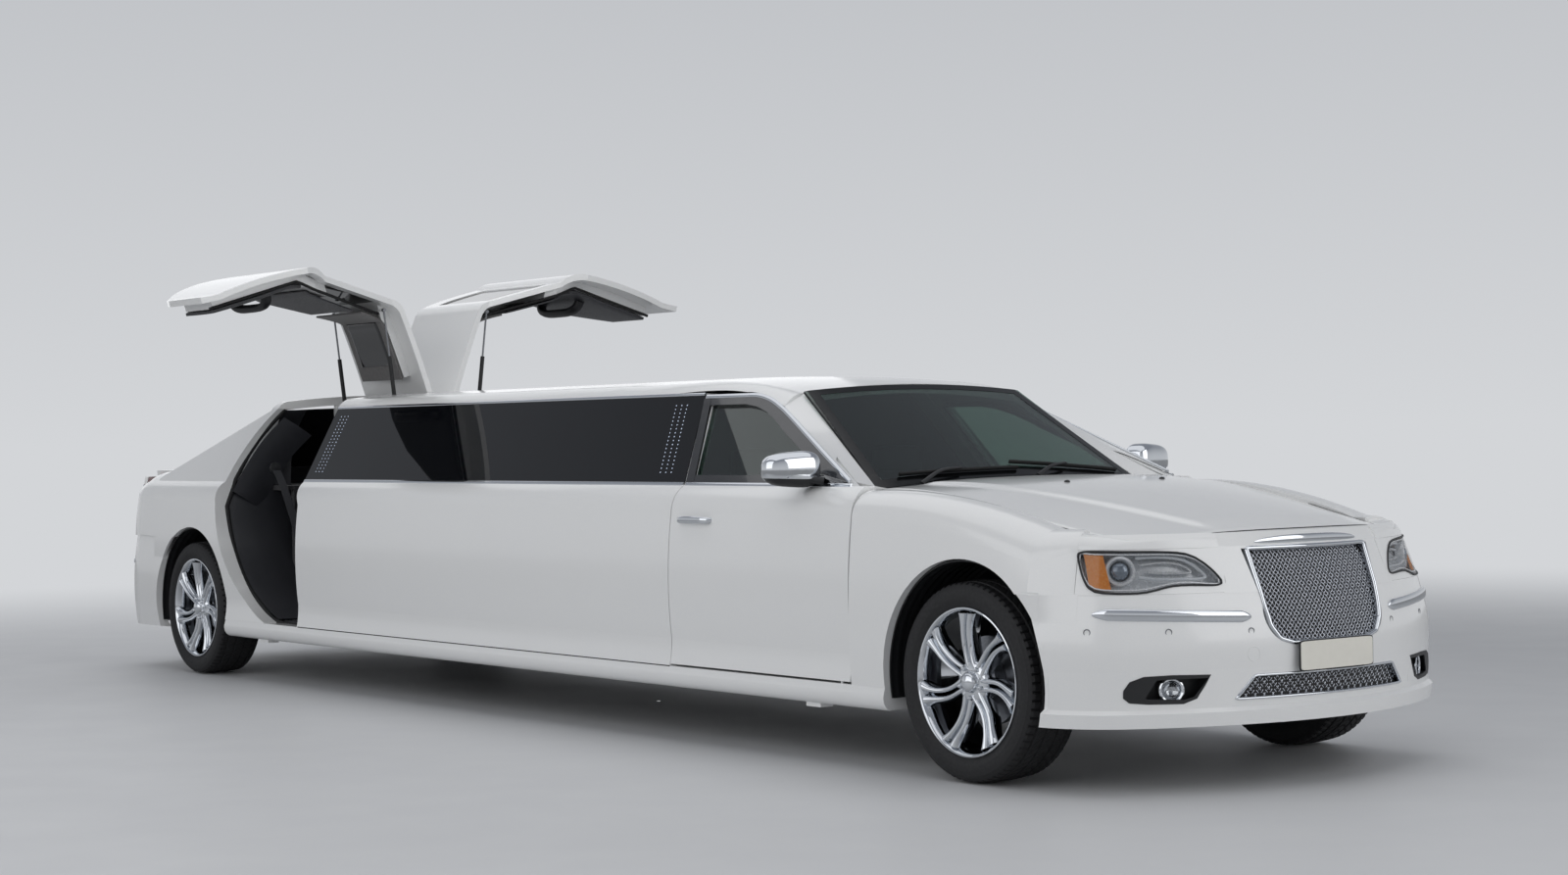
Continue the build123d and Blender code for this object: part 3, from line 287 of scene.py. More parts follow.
def lean(x, z, depth=0.0):
    """A point on the leaning side above the belt: the plane from belt to rail, moved in along its normal."""
    x, z, depth = np.broadcast_arrays(np.asarray(x, float), z, depth)
    y = BELT[0] + (z - BELT[1]) * (RAIL[0] - BELT[0]) / (RAIL[1] - BELT[1])
    return np.stack([x, y - depth * LEAN[0], z - depth * LEAN[1]], -1)


# Ends of the car, by bearing in degrees from straight ahead or astern.

def turn_of(shape):
    """The corner arc's y and the bearing, in radians, at which the flat arc of an end gives way to it."""
    corner_y = HALF_WIDTH - shape[2]
    return corner_y, asin(corner_y / (shape[1] - shape[2]))


def ring(bearing, inset, z, shape=NOSE, end=1.0):
    """Points of an end wall by bearing, inset and height: the flat arc up to the turn, then the corner arc.

    A point is its arc's centre plus (radius + inset) along the bearing, which is also the outward normal.
    """
    tip, bulge, corner = shape
    corner_y, turn = turn_of(shape)
    corner_x = tip - bulge + sqrt((bulge - corner) ** 2 - corner_y ** 2)
    b = np.radians(np.asarray(bearing, float))
    on_corner = np.abs(b) > turn
    r = np.where(on_corner, corner, bulge) + inset
    x = end * (np.where(on_corner, corner_x, tip - bulge) + r * np.cos(b))
    return xyz(x, np.where(on_corner, corner_y * np.sign(b), 0) + r * np.sin(b), z)


def bearing_at(y, shape=NOSE):
    """The bearing whose plan point has this y: asin(y / bulge) on the flat arc, then the corner's own."""
    _, bulge, corner = shape
    corner_y, turn = turn_of(shape)
    out = np.abs(np.asarray(y, float))
    flat = np.arcsin(np.clip(out / bulge, 0, 1))
    bend = np.arcsin(np.clip((out - corner_y) / corner, -1, 1))
    return np.degrees(np.sign(y) * np.where(flat > turn, bend, flat))


# Heights of the nose's outer face, and how far it stands from its plan line there.
NOSE_Z = (0.238, 0.286, 0.300, 0.430, 0.510, 0.600, 0.690, 0.845, 0.893)
NOSE_INSET = (0.004, 0.010, -0.006, -0.002, 0.000, -0.014, -0.038, -0.096, -0.128)


def wall_inset(z):
    """How far the nose's outer face stands from its plan line at a height."""
    return np.interp(z, NOSE_Z, NOSE_INSET)


def nose_point(y, z, proud=0.0):
    """The point of the nose's outer face that is seen from ahead at (y, z), moved out by proud."""
    return ring(bearing_at(y), wall_inset(z) + proud, z)


def nose_plate(yz, outer, inner):
    """A plate on the nose's face over a grid of (y, z) points, between two distances from the face."""
    return plate(*(nose_point(yz[..., 0], yz[..., 1], proud) for proud in (outer, inner)))


def on_nose(profile, y, z, count):
    """A turned profile standing on the nose's face, its axis along the outward normal."""
    b = radians(float(bearing_at(y)))
    return turned(profile, nose_point(y, z, 0.0005), (cos(b), sin(b), 0), count)


# Finishes

class Finish(NamedTuple):
    """What a surface is made of; a colour is sRGB hex or the name of one of the user's colours."""
    name: str
    slot: str  # the record's material slot meant for a new piece, which piece() reads but does not set; empty where only solids wear the finish
    colour: str
    grain: tuple  # kind of pattern and its size in metres
    roughness: tuple  # where the pattern is low, and where it is high
    tint: str = ""  # colour where the pattern is high
    bump: tuple = ()  # strength and height in metres of the pattern's relief
    shader: dict = {}  # further inputs of the surface


METAL, GLOSS = {"Metallic": 1.0}, {"Coat Weight": 1.0, "Coat Roughness": 0.03}
# Sprayed two-pack lacquer: a bright clear coat with the faint peel of spraying over plain white.
WHITE_LACQUER = Finish("sprayed_white_lacquer", "white_paint", "paint", ("noise", 0.006), (0.30, 0.36),
                       "EDEEEF", (0.02, 0.0002), {"Coat Weight": 1.0, "Coat Roughness": 0.12})
# Chromium plate over nickel: a cool mirror with the slightest bloom from polishing.
CHROME = Finish("polished_chrome_plate", "bright_rim", "D3D6DA", ("noise", 0.03), (0.035, 0.075),
                shader=METAL)
# Moulded polypropylene: deep grey-black with a pebble grain, coarser than real, that breaks up its sheen.
BLACK_MOULDING = Finish("moulded_black_polypropylene", "black_plastic", "141517", ("voronoi", 0.0022),
                        (0.42, 0.58), "1C1D20", (0.25, 0.0002))
# Extruded sponge rubber: matt black, faintly mottled.
RUBBER_SEAL = Finish("extruded_sponge_rubber", "black_plastic", "0C0C0D", ("noise", 0.004), (0.62, 0.78),
                     "161617", (0.1, 0.0004))
# Cured tyre rubber: dry black with a patchy dusty bloom.
TYRE_RUBBER = Finish("cured_tyre_rubber", "tyre_rubber", "131315", ("noise", 0.012), (0.62, 0.80), "1E1E20",
                     (0.12, 0.0006))
# Laminated green-tinted glass: clear through, a little dark, with a clean surface reflection.
FRONT_GLASS = Finish("laminated_tinted_glass", "", "glass", ("noise", 0.2), (0.0, 0.012),
                     shader={"Transmission Weight": 1.0, "IOR": 1.50})
# Deep-tinted glass with a bonded black liner: almost black, mirror smooth, faintly uneven in reflection.
PRIVACY_GLASS = Finish("bonded_privacy_glass", "", "privacy", ("noise", 0.35), (0.01, 0.03), "0C0E12",
                       shader={"IOR": 1.52, "Specular IOR Level": 0.28})
# Back-silvered flat glass: a cool, near-perfect mirror.
SILVERED_GLASS = Finish("silvered_glass", "clear_glass", "C4CBD2", ("noise", 0.1), (0.01, 0.03),
                        shader=METAL)
# Ceramic frit fired on to glass: flat deep black with a weak, clean reflection.
FIRED_BORDER = Finish("fired_ceramic_border", "black_plastic", "08090A", ("noise", 0.03), (0.10, 0.18),
                      "0D0E10", shader={"Specular IOR Level": 0.22})
# Gloss black acrylic cover: deep black with a clear reflection and faint polishing haze.
GLOSS_BLACK = Finish("gloss_black_acrylic", "black_plastic", "0A0A0C", ("noise", 0.05), (0.08, 0.16),
                     "101013", shader={"Coat Weight": 0.7, "Coat Roughness": 0.02})
# Moulded clear polycarbonate with a hard coat: water-clear with a sharp highlight.
CLEAR_LENS = Finish("hard_coated_polycarbonate", "lamp_lens", "26282A", ("noise", 0.1), (0.0, 0.015),
                    shader={"Alpha": 0.14, "IOR": 1.45})
# Moulded amber acrylic: warm and saturated, with fine prisms behind a glossy face.
AMBER_LENS = Finish("moulded_amber_acrylic", "lamp_lens", "EE8526", ("voronoi", 0.006), (0.12, 0.28),
                    "F2A04A", (0.3, 0.0008), GLOSS)
# Moulded red acrylic: deep red with prism cells under a glossy face.
RED_LENS = Finish("moulded_red_acrylic", "", "8E0F14", ("voronoi", 0.007), (0.10, 0.25), "B8181E",
                  (0.3, 0.0008), GLOSS)
# Ground glass projector lens: bright and grey-blue with a hard highlight.
PROJECTOR_GLASS = Finish("ground_projector_glass", "lamp_lens", "8E99A6", ("noise", 0.02), (0.04, 0.12),
                         shader={"Coat Weight": 1.0, "Coat Roughness": 0.01, "Metallic": 0.55})
# Frosted acrylic light guide: milky white with soft cells.
LIGHT_GUIDE = Finish("frosted_acrylic", "lamp_lens", "EEF2F6", ("voronoi", 0.008), (0.18, 0.35), "D5DCE4",
                     (0.3, 0.0006), {"Coat Weight": 0.8})
# Lit diode under a clear dome: a cool, faintly blue white.
LIGHT_DOT = Finish("diode_dome", "lamp_lens", "DDE6F5", ("noise", 0.002), (0.05, 0.2),
                   shader={"Emission Color": linear("CFE0FF"), "Emission Strength": 0.7})
# Vacuum-metallised reflector: silver, softer than chrome, with shallow facets.
BRIGHT_REFLECTOR = Finish("metallised_reflector", "bright_rim", "F1F3F5", ("voronoi", 0.010),
                          (0.16, 0.30), "DADDE1", (0.12, 0.0005), {"Metallic": 0.25})
# Woven nickel-plated wire: bright, with a patchy duller bloom.
WOVEN_WIRE = Finish("woven_nickel_wire", "bright_mesh", "B9BCC2", ("noise", 0.01), (0.14, 0.30), "8D9096",
                    shader=METAL)
# Turned steel: grey metal mottled by tool marks, drawn coarser than real so that they show.
MACHINED_STEEL = Finish("turned_steel", "forged_steel", "8C8E92", ("noise", 0.006), (0.28, 0.45), "6F7175",
                        (0.1, 0.0004), METAL)
# Sand-cast alloy: dull grey metal with a pitted skin.
CAST_METAL = Finish("sand_cast_alloy", "black_structure", "5B5D60", ("noise", 0.005), (0.5, 0.7), "47494C",
                    (0.4, 0.0006), {"Metallic": 0.8})
# Baked black coating on steel: satin, with the slight stipple of dipping.
BLACK_COATING = Finish("baked_black_coating", "black_structure", "0E0F11", ("noise", 0.008), (0.45, 0.62),
                       "18191B", (0.1, 0.0004))
# Painted pressed-aluminium plate: cream with a soft gloss.
PLATE_ENAMEL = Finish("painted_plate_cream", "mirror_cap", "F3F0E6", ("noise", 0.03), (0.30, 0.42), "EBE8DD",
                      shader={"Coat Weight": 0.4})
# Drum-dyed leather: charcoal with a pebble grain, coarser than real, glossier in the middle of each pebble.
HIDE = Finish("drum_dyed_leather", "dark_leather", "leather", ("voronoi", 0.005), (0.36, 0.55), "303136",
              (0.35, 0.0005))
# Brushed microfibre lining: soft warm grey with a cloudy nap.
SUEDE = Finish("brushed_microfibre", "dark_leather", "757372", ("noise", 0.02), (0.80, 0.92), "626060",
               (0.15, 0.0004), {"Sheen Weight": 0.3})
# Cut-pile carpet: near-black tufts, a little coarser than real, that scatter the light.
CARPET = Finish("cut_pile_carpet", "", "17171A", ("voronoi", 0.006), (0.85, 0.95), "242428", (0.6, 0.003),
                {"Sheen Weight": 0.3})
# Woven polyester webbing: charcoal with a small knobbly weave, coarser than real.
BELT_WEBBING = Finish("woven_belt_webbing", "dark_leather", "2A2B2F", ("voronoi", 0.003), (0.55, 0.7),
                      "3A3B40", (0.4, 0.0004), {"Sheen Weight": 0.2})
# Painted studio floor: pale and even, with a broad soft sheen.
STUDIO_FLOOR = Finish("painted_studio_floor", "", "floor", ("noise", 0.4), (0.48, 0.56), "D4D5D7")

NODE_FINISHES = (
    (WHITE_LACQUER, ("sills", "front_bumper", "front_fenders", "windscreen_pillars", "roof",
                     "stretch_panels", "quarter_panels", "rear_bumper", "boot_lid", "front_door_left",
                     "front_door_right", "gull_door_left", "gull_door_right")),
    (FRONT_GLASS, ("windscreen", "door_glass_left", "door_glass_right")),
    (PRIVACY_GLASS, ("stretch_glass", "rear_window", "gull_glass_left", "gull_glass_right")),
    (BLACK_COATING, ("bulkhead", "front_rails", "front_crossmember", "rear_axle", "strut_tubes_left",
                     "strut_tubes_right")),
    (BLACK_MOULDING, ("wheel_housings", "dashboard")),
    (RUBBER_SEAL, ("grilles",)),
    (CARPET, ("floor_pan",)),
    (HIDE, ("partition",)),
    (MACHINED_STEEL, ("exhausts", "strut_rods_left", "strut_rods_right", "knuckle_left", "knuckle_right")),
    (RED_LENS, ("tail_lamps",)),
)


def node(tree, kind, inputs=None, **settings):
    """Adds one node, sets its properties, and fills its inputs with values or links from other outputs."""
    made = tree.nodes.new("ShaderNode" + kind)
    for key, value in settings.items():
        setattr(made, key, value)
    for key, value in (inputs or {}).items():
        if isinstance(value, bpy.types.NodeSocket):
            tree.links.new(value, made.inputs[key])
        else:
            made.inputs[key].default_value = value
    return made


def material(finish):
    """A finish's material, made once: roughness, colour and relief follow a grain on Object coordinates."""
    made = bpy.data.materials.get(finish.name)
    if made:
        return made
    made = bpy.data.materials.new(finish.name)
    made.use_nodes = True
    tree = made.node_tree
    tree.nodes.clear()
    kind, size = finish.grain
    grain = {"Vector": node(tree, "TexCoord").outputs["Object"], "Scale": 1 / size}
    if kind == "voronoi":
        pattern = node(tree, "TexVoronoi", grain).outputs["Distance"]
    else:
        pattern = node(tree, "TexNoise", {**grain, "Detail": 3.0}).outputs["Fac"]
    low, high = finish.roughness
    rough = node(tree, "MapRange", {"Value": pattern, "From Min": 0.25, "From Max": 0.75, "To Min": low,
                                    "To Max": high})
    chosen = getattr(bpy.context.scene.limousine_colours, finish.colour, None)
    colour = linear(finish.colour) if chosen is None else tuple(chosen)
    inputs = {"Base Color": colour, "Roughness": rough.outputs["Result"], **finish.shader}
    if finish.tint:
        mix = node(tree, "Mix", {0: pattern, 6: colour, 7: linear(finish.tint)}, data_type="RGBA")
        inputs["Base Color"] = mix.outputs[2]
    if finish.bump:
        strength, height = finish.bump
        relief = node(tree, "Bump", {"Height": pattern, "Strength": strength, "Distance": height})
        inputs["Normal"] = relief.outputs["Normal"]
    surface = node(tree, "BsdfPrincipled", inputs)
    node(tree, "OutputMaterial", {"Surface": surface.outputs["BSDF"]})
    return made


def piece(name, shape, finish, body="body", sharp=EDGE, slot=None, replaces=()):
    """Puts a shape into a mesh object at the origin, faces outward, that rides on a body."""
    points, faces = shape
    slot = slot or finish.slot
    mesh = bpy.data.meshes.new(name)
    mesh.from_pydata(np.asarray(points, float).tolist(), [], faces)
    shaped = bmesh.new()
    shaped.from_mesh(mesh)
    bmesh.ops.remove_doubles(shaped, verts=shaped.verts, dist=MERGE)
    bmesh.ops.recalc_face_normals(shaped, faces=shaped.faces)
    shaped.to_mesh(mesh)
    shaped.free()
    mesh.shade_smooth()
    mesh.set_sharp_from_angle(angle=radians(sharp))
    mesh.materials.append(material(finish))
    made = bpy.data.objects.new(name, mesh)
    bpy.context.scene.collection.objects.link(made)
    if replaces:
        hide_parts(*replaces)
    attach(made, body)
    return made


def pair(name, shape, finish, body="body", sharp=EDGE, slot=None, replaces=""):
    """A left piece and its mirror image; {} in the name of a body or node stands for the side.

    A node that holds both sides is replaced by the left piece.
    """
    for side, sign in SIDES:
        stands = replaces and ("{}" in replaces or side == "left")
        nodes = (replaces.format(side),) if stands else ()
        piece(f"{name}_{side}", mirrored(shape, sign), finish, body.format(side), sharp, slot, nodes)


# Stage

# Softboxes: name, place, aim, width and height in metres, power in watts.
SOFTBOXES = (
    ("overhead", (0.5, -0.5, 6.5), (0, 0, 0), (14.0, 7.0), 205),
    ("right", (2.0, -8.5, 4.2), (0.5, 0, 0.6), (13.0, 6.0), 235),
    ("front", (10.5, 2.5, 4.0), (3.0, 0, 0.7), (7.0, 6.0), 190),
    ("back", (-9.0, 3.0, 4.5), (-2, 0, 1.0), (9.0, 6.0), 80),
)
STEEP = 0.99
HORIZON, SKY = linear("D3D5D8"), linear("8E929A")
FLOOR_RINGS = (0.01, 6, 14, 40, 90)
FLOOR_FADE = (4.0, 13.0)
# The viewpoint fitted to the photograph: place, yaw, pitch and roll, lens in millimetres, shift.
EYE_AT = (10.490, -7.156, 1.260)
EYE_YAW, EYE_PITCH, EYE_ROLL = radians(142.909), radians(-0.042), radians(-0.979)
EYE_LENS, EYE_SENSOR, EYE_SHIFT, EYE_REACH = 61.21, 36.0, -0.001, 400


def lay_floor(scene):
    """A round floor that fades into the horizon's colour with distance from its middle."""
    r, t = np.meshgrid(FLOOR_RINGS, circle(64), indexing="ij")
    points, faces = sheet(xyz(r * np.cos(t), r * np.sin(t), 0.0), wrap_cols=True)
    mesh = bpy.data.meshes.new("studio_floor")
    mesh.from_pydata(points.tolist(), [], [face[::-1] for face in faces])
    floor = bpy.data.objects.new("studio_floor", mesh)
    scene.collection.objects.link(floor)
    painted = material(STUDIO_FLOOR)
    tree = painted.node_tree
    by_type = {made.type: made for made in tree.nodes}
    place = node(tree, "TexCoord").outputs["Object"]
    away = node(tree, "VectorMath", {0: place}, operation="LENGTH").outputs["Value"]
    far = node(tree, "MapRange", {"Value": away, "From Min": FLOOR_FADE[0], "From Max": FLOOR_FADE[1]},
               interpolation_type="SMOOTHSTEP")
    seen = node(tree, "LightPath").outputs["Is Camera Ray"]
    strength = node(tree, "MapRange", {"Value": seen, "To Min": 0.45}).outputs["Result"]
    glow = node(tree, "Emission", {"Color": HORIZON, "Strength": strength})
    blend = node(tree, "MixShader", {0: far.outputs["Result"], 1: by_type["BSDF_PRINCIPLED"].outputs["BSDF"],
                                     2: glow.outputs["Emission"]})
    tree.links.new(blend.outputs["Shader"], by_type["OUTPUT_MATERIAL"].inputs["Surface"])
    mesh.materials.append(painted)


def light_world(scene):
    """A pale sky that darkens upwards, shown to camera, mirrors and glass, and dimmer as a light."""
    world = bpy.data.worlds.new("studio")
    scene.world = world
    world.use_nodes = True
    tree = world.node_tree
    tree.nodes.clear()
    up = node(tree, "SeparateXYZ", {"Vector": node(tree, "TexCoord").outputs["Generated"]}).outputs["Z"]
    rise = node(tree, "ValToRGB", {"Fac": up})
    for stop, place, colour in zip(rise.color_ramp.elements, (0.0, 0.55), (HORIZON, SKY)):
        stop.position = place
        stop.color = colour
    seen = node(tree, "LightPath").outputs
    shown = seen["Is Camera Ray"]
    for ray in ("Is Glossy Ray", "Is Transmission Ray"):
        shown = node(tree, "Math", {0: shown, 1: seen[ray]}, operation="MAXIMUM").outputs[0]
    level = node(tree, "MapRange", {"Value": shown, "To Min": 0.55, "To Max": 1.0})
    back = node(tree, "Background", {"Color": rise.outputs["Color"], "Strength": level.outputs["Result"]})
    node(tree, "OutputWorld", {"Surface": back.outputs["Background"]})


def placed(data, right, top, back, at):
    """Links a lamp or a camera at a place, its own axes along three directions."""
    made = bpy.data.objects.new(data.name, data)
    bpy.context.scene.collection.objects.link(made)
    made.matrix_world = Matrix([*np.stack([right, top, back, at], 1).tolist(), (0, 0, 0, 1)])
    return made


def hang_softbox(name, at, aim, size, watts):
    """A rectangular lamp at a place, facing its aim; one that looks steeply down lies along the car."""
    data = bpy.data.lights.new("softbox_" + name, "AREA")
    data.shape = "RECTANGLE"
    data.size, data.size_y = size
    data.energy = watts
    back = np.array(at) - np.array(aim)
    back = back / np.linalg.norm(back)
    right = np.cross(UP, back) if abs(back[2]) < STEEP else np.array((1.0, 0, 0))
    right = right / np.linalg.norm(right)
    placed(data, right, np.cross(back, right), back, at)


def set_viewpoint(scene):
    """The camera looks along yaw and pitch, then rolls about its own view line."""
    eye = bpy.data.cameras.new("viewpoint")
    eye.sensor_fit = "HORIZONTAL"
    eye.sensor_width, eye.lens, eye.clip_end, eye.shift_y = EYE_SENSOR, EYE_LENS, EYE_REACH, EYE_SHIFT
    way = np.array([cos(EYE_YAW) * cos(EYE_PITCH), sin(EYE_YAW) * cos(EYE_PITCH), sin(EYE_PITCH)])
    right = np.cross(way, UP)
    right /= np.linalg.norm(right)
    top = np.cross(right, way)
    c, s = cos(EYE_ROLL), sin(EYE_ROLL)
    scene.camera = placed(eye, c * right + s * top, c * top - s * right, -way, EYE_AT)


class LIMO_OT_stage(Operator):
    """Floor, soft lights, world and the camera at the photograph's viewing angle"""
    bl_idname = "limousine.stage"
    bl_label = "Stage"

    def execute(self, context):
        context.scene.view_settings.view_transform = "Standard"
        lay_floor(context.scene)
        light_world(context.scene)
        for softbox in SOFTBOXES:
            hang_softbox(*softbox)
        set_viewpoint(context.scene)
        return {"FINISHED"}


class LIMO_OT_bodywork(Operator):
    """Finishes for the panels and mechanical parts that keep their own solids"""
    bl_idname = "limousine.bodywork"
    bl_label = "Bodywork finishes"

    def execute(self, context):
        for finish, names in NODE_FINISHES:
            for name in names:
                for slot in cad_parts[name].material_slots:
                    slot.material = material(finish)
        return {"FINISHED"}


# Wheels

WHEELS = (("front_left", FRONT_AXLE_X, 1.0), ("front_right", FRONT_AXLE_X, -1.0),
          ("rear_left", REAR_AXLE_X, 1.0), ("rear_right", REAR_AXLE_X, -1.0))
# Sections of the turned parts as (y, radius) pairs about the wheel's middle.
BARREL = [(0.1005, 0.2695), (0.1090, 0.2700), (0.1135, 0.2675), (0.1145, 0.2630), (0.1115, 0.2585),
          (0.1020, 0.2545), (0.0900, 0.2490), (0.0600, 0.2440), (0.0100, 0.2390), (-0.0700, 0.2390),
          (-0.1000, 0.2450), (-0.1120, 0.2560), (-0.1130, 0.2670), (-0.1060, 0.2700), (-0.1005, 0.2690),
          (-0.0970, 0.2560), (0.0970, 0.2560)]
HUB = [(0.040, 0.001), (0.040, 0.078), (0.060, 0.082), (0.080, 0.076), (0.088, 0.066), (0.089, 0.040),
       (0.094, 0.037), (0.104, 0.035), (0.112, 0.029), (0.117, 0.018), (0.119, 0.001)]
DISC = [(0.000, 0.070), (0.000, 0.160), (-0.028, 0.160), (-0.028, 0.070)]
BELL = [(0.036, 0.030), (0.036, 0.085), (0.002, 0.092), (0.002, 0.030)]
NUTS, BOLT_CIRCLE, NUT_FOOT = 5, 0.057, 0.086
TREAD_STEPS, TREAD_HALF, TREAD_RADIUS = 360, 0.0990, 0.3618
SIDE_WALL = [(0.0960, 0.2570), (0.1080, 0.2720), (0.1170, 0.2900), (0.1215, 0.3120), (0.1190, 0.3330),
             (0.1120, 0.3480), (0.1030, 0.3560)]


def on_wheels(name, shape, finish, sharp=EDGE, replaces=""):
    """A piece for each wheel, drawn about a left wheel's middle and moved out to its axle."""
    for place, x, side in WHEELS:
        spot = (shape[0] + np.array((x, WHEEL_Y, TYRE_RADIUS)), shape[1])
        nodes = (f"{replaces}_{place}",) if replaces else ()
        piece(f"{name}_{place}", mirrored(spot, side), finish, "wheel_" + place, sharp, replaces=nodes)


def twin_spoke(angle):
    """One twin spoke: a blade from hub to rim whose top carries two rounded bars with a groove between them.

    Along u the blade runs out by radius and flares at both ends. Across v its top is raised on two humps,
    1 - |2|v| - 1| to the power 2.6, and pressed in between them by a bell curve.
    """
    u = np.linspace(0, 1, 26)[:, None]
    v = np.linspace(-1, 1, 29)[None]
    half = 0.0285 + 0.012 * (2 * u - 0.9) ** 4 + 0.004 * u
    lift = 0.030 * (1 - np.abs(np.abs(v) * 2 - 1) ** 2.6) - 0.012 * np.exp(-(v / 0.16) ** 2)
    lift = lift * np.clip(1.25 - 0.4 * u, 0, 1)
    level = 0.060 + 0.030 * u ** 0.8 - 0.010 * np.sin(pi * u)
    x, z = 0.050 + 0.196 * u, half * v + 0.020 * np.sin(pi * u)
    points, faces = plate(xyz(x, level + lift, z), xyz(x, level - 0.022, z * 0.92))
    return rotated(points, angle, 0, 2), faces


def lug_nut(angle):
    """A domed nut: its radius falls with height to the power 2.5, and its wall is a six-sided wave."""
    t = circle(18)[None]
    h = np.linspace(0, 1, 5)[:, None]
    r = (0.0098 - 0.0075 * h ** 2.5) * (1 - 0.06 * np.cos(6 * t) * (1 - h))
    points = xyz(BOLT_CIRCLE + r * np.cos(t), NUT_FOOT + 0.020 * h, r * np.sin(t))
    points, faces = sheet(points, wrap_cols=True, cap=True)
    return rotated(points, angle, 0, 2), faces


class LIMO_OT_wheels(Operator):
    """Chromed twin-spoke wheels with their lips, hubs and nuts, and the brake discs behind them"""
    bl_idname = "limousine.wheels"
    bl_label = "Wheels"

    def execute(self, context):
        count = context.scene.limousine_sizes.spokes
        wheel = [turned(BARREL, count=128), turned(HUB, count=64)]
        wheel += [twin_spoke(2 * pi * i / count + pi / 2) for i in range(count)]
        wheel += [lug_nut(2 * pi * (i + 0.5) / NUTS + pi / 2) for i in range(NUTS)]
        on_wheels("alloy_wheel", joined(wheel), CHROME, replaces="rim")
        on_wheels("brake_disc", joined([turned(DISC, count=96), turned(BELL, count=64)]), MACHINED_STEEL)
        return {"FINISHED"}


class LIMO_OT_tyres(Operator):
    """Low-profile tyres with grooves, shoulder blocks and sidewall rings"""
    bl_idname = "limousine.tyres"
    bl_label = "Tyres"

    def execute(self, context):
        depth = context.scene.limousine_sizes.tread_depth
        wall = smooth_line(SIDE_WALL, 22)
        tread_y = np.linspace(TREAD_HALF, -TREAD_HALF, 61)
        tread = np.stack([tread_y, TREAD_RADIUS - 0.0062 * (tread_y / 0.1030) ** 2], -1)
        loop = np.concatenate([wall, tread, wall[::-1] * (-1, 1), [(-0.092, 0.2562), (0.092, 0.2562)]])
        t, step = circle(TREAD_STEPS)[:, None], np.arange(TREAD_STEPS)[:, None]
        y, r = loop.T[:, None]
        out = np.abs(y)
        rings = np.isin(np.round(out / 0.0033), (8, 9, 22, 23)) & (r > 0.354)
        block = (out > 0.076) & (r > 0.350) & (np.mod(step + 2 * (y > 0), 5) < 1)
        sipe = (out < 0.066) & (r > 0.354) & (np.mod(step + np.round(out / 0.0066), 6) < 1)
        collar = 0.0012 * ((np.abs(r - 0.300) < 0.0025) | (np.abs(r - 0.335) < 0.0022)) * (out > 0.1)
        deep = r - depth * (rings | block) - 0.5 * depth * (sipe & ~rings)
        points = xyz(deep * np.cos(t), y + np.sign(y) * collar, deep * np.sin(t))
        on_wheels("tyre_dressed", sheet(points, True, True), TYRE_RUBBER, 30, "tyre")
        return {"FINISHED"}


# Nose

# Outlines of the two openings seen from ahead, as (y, z) pairs.
GRILLE = np.array([(0.325, 0.836), (0.300, 0.640), (0.284, 0.570), (0.250, 0.525), (0.190, 0.508),
                   (-0.190, 0.508), (-0.250, 0.525), (-0.284, 0.570), (-0.300, 0.640), (-0.325, 0.836)])
LOWER = np.array([(0.357, 0.404), (0.431, 0.326), (-0.431, 0.326), (-0.357, 0.404)])
MESH_SLOPE, MESH_DEPTH, MESH_WAVE = 1.1, -0.020, 0.0016


def wires(outline, section, pitch, sign):
    """Wires of one slant across a convex outline: each is cut to the outline, then waved over and under.

    A wire starts from its offset along y and climbs at the slope. Its depth swings by the cosine of how far
    along the crossings it has come.
    """
    centre = outline.mean(0)
    count = int((np.ptp(outline[:, 0]) + np.ptp(outline[:, 1]) / MESH_SLOPE) / 2 / pitch)
    k = np.arange(-count, count + 1)
    start = np.stack([centre[0] + k * pitch, np.full(len(k), centre[1])], -1)
    way = np.array([sign, MESH_SLOPE]) / hypot(1, MESH_SLOPE)
    edge = np.roll(outline, -1, 0) - outline
    normal = np.stack([edge[:, 1], -edge[:, 0]], -1)
    normal *= np.sign(((centre - outline) * normal).sum(1))[:, None]
    rate = normal @ way
    room = ((start[:, None] - outline[None]) * normal[None]).sum(2)
    t = -room / np.where(np.abs(rate) < 1e-9, 1e-9, rate)[None]
    low = np.where(rate > 0, t, -np.inf).max(1)
    high = np.where(rate < 0, t, np.inf).min(1)
    shapes = []
    for i in np.flatnonzero(high - low > pitch * 0.6):
        s = np.linspace(low[i], high[i], max(6, int((high[i] - low[i]) / pitch * 3.2)))
        yz = start[i] + s[:, None] * way
        wave = MESH_WAVE * sign * np.cos(pi * (s * way[1] * 2 / (pitch * MESH_SLOPE) + k[i]))
        path = nose_point(yz[:, 0], yz[:, 1], MESH_DEPTH + wave)
        shapes.append(carried(section, path, *frames(path, AHEAD)))
    return shapes


class LIMO_OT_grilles(Operator):
    """Woven wire mesh in the upper and lower openings, and their bright frames"""
    bl_idname = "limousine.grilles"
    bl_label = "Grilles"

    def execute(self, context):
        sizes = context.scene.limousine_sizes
        section = rounded(2.6 * sizes.wire, 1.7 * sizes.wire, 6, 2.0)
        mesh, rims = [], []
        for outline, width in ((GRILLE, 0.017), (LOWER, 0.011)):
            for sign in (1, -1):
                mesh += wires(outline, section, sizes.mesh_pitch, sign)
            loop = looped(outline, 160)
            path = nose_point(loop[:, 0], loop[:, 1], -0.008)
            rims.append(bar(path, width, 0.030, AHEAD, 14, closed=True))
        piece("grille_mesh", joined(mesh), WOVEN_WIRE, sharp=BAR)
        piece("grille_frames", joined(rims), CHROME, sharp=SKIN)
        return {"FINISHED"}


